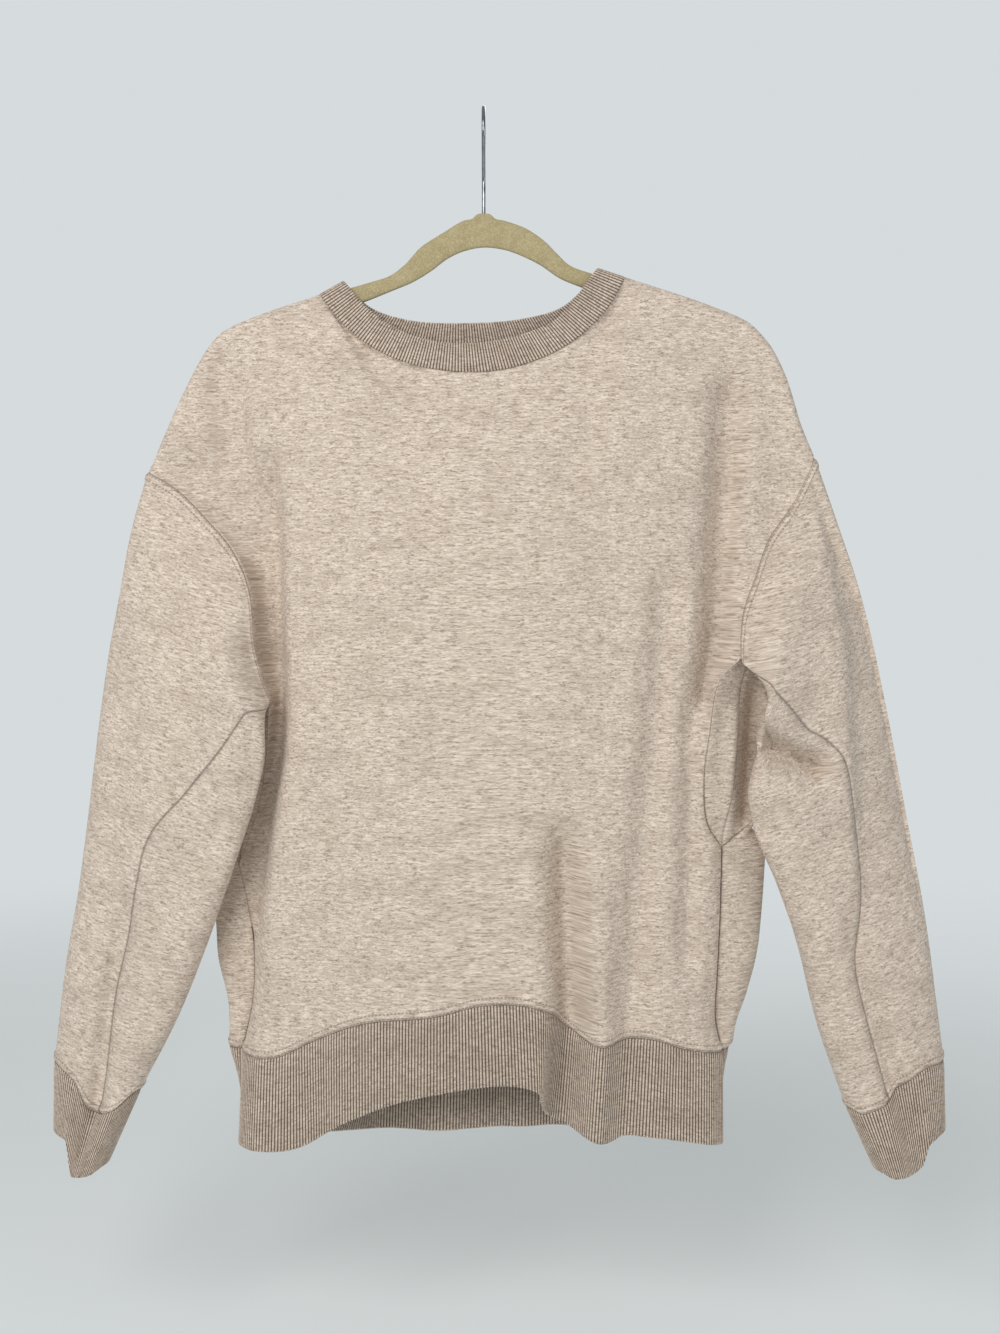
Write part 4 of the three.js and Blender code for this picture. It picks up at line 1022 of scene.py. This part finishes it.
def band_normals(seam, edge, facing):
    """Outward directions of a band's two rings, turned to face out at the front or side."""
    grid = np.stack([seam, edge])
    normals = surface_normals(grid, True)
    probe = np.argmin(seam @ -np.array(facing, float))
    if np.dot(normals[0, probe], facing) < 0:
        normals = -normals
    return normals


band_out = {name: band_normals(*band) for name, band in bands.items()}
grids = [piece["grid"] for piece in cloth_pieces.values()]
normals = [piece["normals"] for piece in cloth_pieces.values()]
band_grids = [np.stack(band[:2]) for band in bands.values()]
share_seam_normals(grids + band_grids, normals + list(band_out.values()))

made = {name: sew_cloth(name, piece, fleece) for name, piece in cloth_pieces.items()}
for name, (seam, edge, _) in bands.items():
    made[name] = ribbed_band(f"{name}_rib", seam, edge, band_out[name], rib)

# Hanger
HANGER_TOP = [(-211, -176), (-203, -170), (-184, -164), (-160, -155), (-136, -148), (-110, -140),
              (-89, -134), (-74, -129), (-62, -120), (-50, -107), (-33, -96), (-16, -86), (-9, -84.5),
              (-5, -81), (5, -81), (9, -84.5), (16, -86), (33, -92), (48, -102), (58, -112),
              (68, -121), (84, -127), (95, -130), (120, -136), (148, -145), (176, -154),
              (200, -163), (209, -168)]
HANGER_LOW = [(-211, -184), (-203, -187), (-170, -175), (-130, -162), (-93, -149), (-73, -141),
              (-56, -134), (-41, -125), (-29, -116), (-16, -110), (0, -107), (17, -109), (31, -114),
              (45, -121), (60, -131), (77, -138), (110, -150), (150, -164), (198, -179),
              (209, -176)]


def hanger_body():
    """Loft along x: rounded sections from the lower to the upper edge, drawn in at both ends."""
    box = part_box("hanger_body")
    low_x, high_x = box[0][0] / MM, box[1][0] / MM
    t = np.linspace(0, 1, 260)
    x = blend(low_x, high_x, t)
    ways = np.linspace(0, 1, 2000)
    top = curve_points(HANGER_TOP, ways)
    low = curve_points(HANGER_LOW, ways)
    top_z = np.interp(x, top[:, 0], top[:, 2])
    low_z = np.interp(x, low[:, 0], low[:, 2])
    end = np.minimum(x - low_x, high_x - x)
    rounded = np.maximum(quarter_round(end / 5), 0.02)
    middle, half = (top_z + low_z) / 2, (top_z - low_z) / 2 * rounded
    turn = np.linspace(0, 2 * np.pi, 29)[:-1]
    bow_y = np.sign(np.cos(turn)) * np.abs(np.cos(turn)) ** 0.5
    bow_z = np.sign(np.sin(turn)) * np.abs(np.sin(turn)) ** 0.7
    y = HANGER_THICKNESS / 2 * rounded[:, None] * bow_y
    z = middle[:, None] + half[:, None] * bow_z
    grid = np.stack([np.broadcast_to(x[:, None], y.shape), y, z], axis=2)
    return close_ends("hanger_body_flock", grid, flock)


def close_ends(name, grid, material):
    """A tube of rings with both ends closed by fans of thin faces to their middles."""
    rows, columns = grid.shape[:2]
    points = np.vstack([grid.reshape(-1, 3), grid[0].mean(axis=0), grid[-1].mean(axis=0)])
    skin = grid_quads(rows, columns, closed=True)
    ring = np.arange(0, columns, 2)
    following, last = (ring + 1) % columns, (ring + 2) % columns
    first_cap = np.stack([np.full(len(ring), rows * columns), last, following, ring], axis=1)
    base = (rows - 1) * columns
    last_cap = np.stack([np.full(len(ring), rows * columns + 1), base + ring, base + following,
                         base + last], axis=1)
    quads = outward_quads(points, np.vstack([skin, first_cap[:, ::-1], last_cap[:, ::-1]]))
    maps = {"cloth": np.zeros((len(points), 2))}
    return add_mesh(name, points, quads, maps, material)


def hook_wire():
    """Circle carried along a path: a straight shank, an easy bend out, an arc over the top."""
    middle = WIRE_DIAMETER / 2 - HOOK_RADIUS
    turns = np.radians(np.arange(215, -16, -23))
    arc = np.stack([HOOK_RADIUS * np.cos(turns), middle + HOOK_RADIUS * np.sin(turns)], axis=1)
    stem = [(0, BUMP_TOP - 1), (0, -66), (0, -54), (-4, -46)]
    path = curve_points(np.vstack([stem, arc]), np.linspace(0, 1, 260))
    forward = np.gradient(path, axis=0)
    forward /= np.linalg.norm(forward, axis=1, keepdims=True)
    side = np.stack([-forward[:, 2], np.zeros(len(path)), forward[:, 0]], axis=1)
    turn = np.linspace(0, 2 * np.pi, 25)[:-1][None, :, None]
    radius = WIRE_DIAMETER / 2 * quarter_round((np.arange(260)[::-1] + 0.3) / 2)[:, None, None]
    ring = path[:, None] + radius * (np.cos(turn) * side[:, None] + np.sin(turn) * np.array([0, 1, 0]))
    return close_ends("hook_wire", ring[..., [1, 0, 2]], steel)


hanger = hanger_body()
hook = hook_wire()

# What each piece stands for, and its finish
PIECES = {
    "front_cloth": ("front", "fleece"), "back_cloth": ("back", "fleece"),
    "gusset_left_cloth": ("gusset_left", "fleece"), "gusset_right_cloth": ("gusset_right", "fleece"),
    "sleeve_left_cloth": ("sleeve_left", "fleece"), "sleeve_right_cloth": ("sleeve_right", "fleece"),
    "under_sleeve_left_cloth": ("under_sleeve_left", "fleece"),
    "under_sleeve_right_cloth": ("under_sleeve_right", "fleece"),
    "cuff_left": ("cuff_left", "rib"), "cuff_right": ("cuff_right", "rib"),
    "neckband": ("neckband", "rib"), "hem_band": ("hem_band", "rib"),
}
for name, (node, slot) in PIECES.items():
    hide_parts(node)
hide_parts("hanger_body")
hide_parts("hook")


# Camera at the photograph's angle
camera = bpy.data.objects.new("camera", bpy.data.cameras.new("camera"))
camera.location = (0.0128, -1.4, -0.3579)
camera.rotation_euler = Euler((np.radians(86.7), 0, 0))
camera.data.lens = 36 * 1750 / 1333
camera.data.sensor_width = 36
bpy.context.scene.collection.objects.link(camera)
bpy.context.scene.camera = camera


def add_light(name, place, aim, size, power, colour):
    light = bpy.data.lights.new(name, "AREA")
    light.shape, light.size, light.energy, light.color = "SQUARE", size, power, colour
    lamp = bpy.data.objects.new(name, light)
    lamp.location = place
    toward = np.array(aim) - np.array(place)
    flat = np.hypot(toward[0], toward[1])
    lamp.rotation_euler = Euler((np.arctan2(flat, -toward[2]), 0, np.arctan2(-toward[0], toward[1])))
    bpy.context.scene.collection.objects.link(lamp)


add_light("key", (-0.9, -1.9, 0.6), (0, 0, -0.5), 1.5, 38, (1.0, 0.985, 0.965))
add_light("side", (1.8, -1.0, -0.2), (0, 0, -0.5), 1.2, 7, (1.0, 0.98, 0.96))
add_light("back", (0.6, 1.9, 0.6), (0, 0, -0.45), 1.6, 14, (1.0, 1.0, 1.0))

floor_mesh = bpy.data.meshes.new("floor")
FLOOR_DROP = -1.0
ROOM_LIGHT = 0.54  # the pale room gives this share of its own brightness as light
FLOOR_REACH = 12.0
floor_mesh.from_pydata([(-FLOOR_REACH, -FLOOR_REACH, FLOOR_DROP), (FLOOR_REACH, -FLOOR_REACH, FLOOR_DROP),
                        (FLOOR_REACH, FLOOR_REACH, FLOOR_DROP), (-FLOOR_REACH, FLOOR_REACH, FLOOR_DROP)],
                       [], [(0, 1, 2, 3)])
floor_mesh.materials.append(floor_finish())
floor = bpy.data.objects.new("floor", floor_mesh)
bpy.context.scene.collection.objects.link(floor)

world = bpy.data.worlds.new("studio")
world.use_nodes = True
light_path = world.node_tree.nodes.new("ShaderNodeLightPath")
strength = world.node_tree.nodes.new("ShaderNodeMapRange")
strength.inputs["To Min"].default_value = ROOM_LIGHT
strength.inputs["To Max"].default_value = 1.0
backdrop = world.node_tree.nodes["Background"]
backdrop.inputs["Color"].default_value = (*linear(214, 219, 221), 1)
world.node_tree.links.new(light_path.outputs["Is Camera Ray"], strength.inputs["Value"])
world.node_tree.links.new(strength.outputs["Result"], backdrop.inputs["Strength"])
bpy.context.scene.world = world
bpy.context.scene.view_settings.view_transform = "Standard"
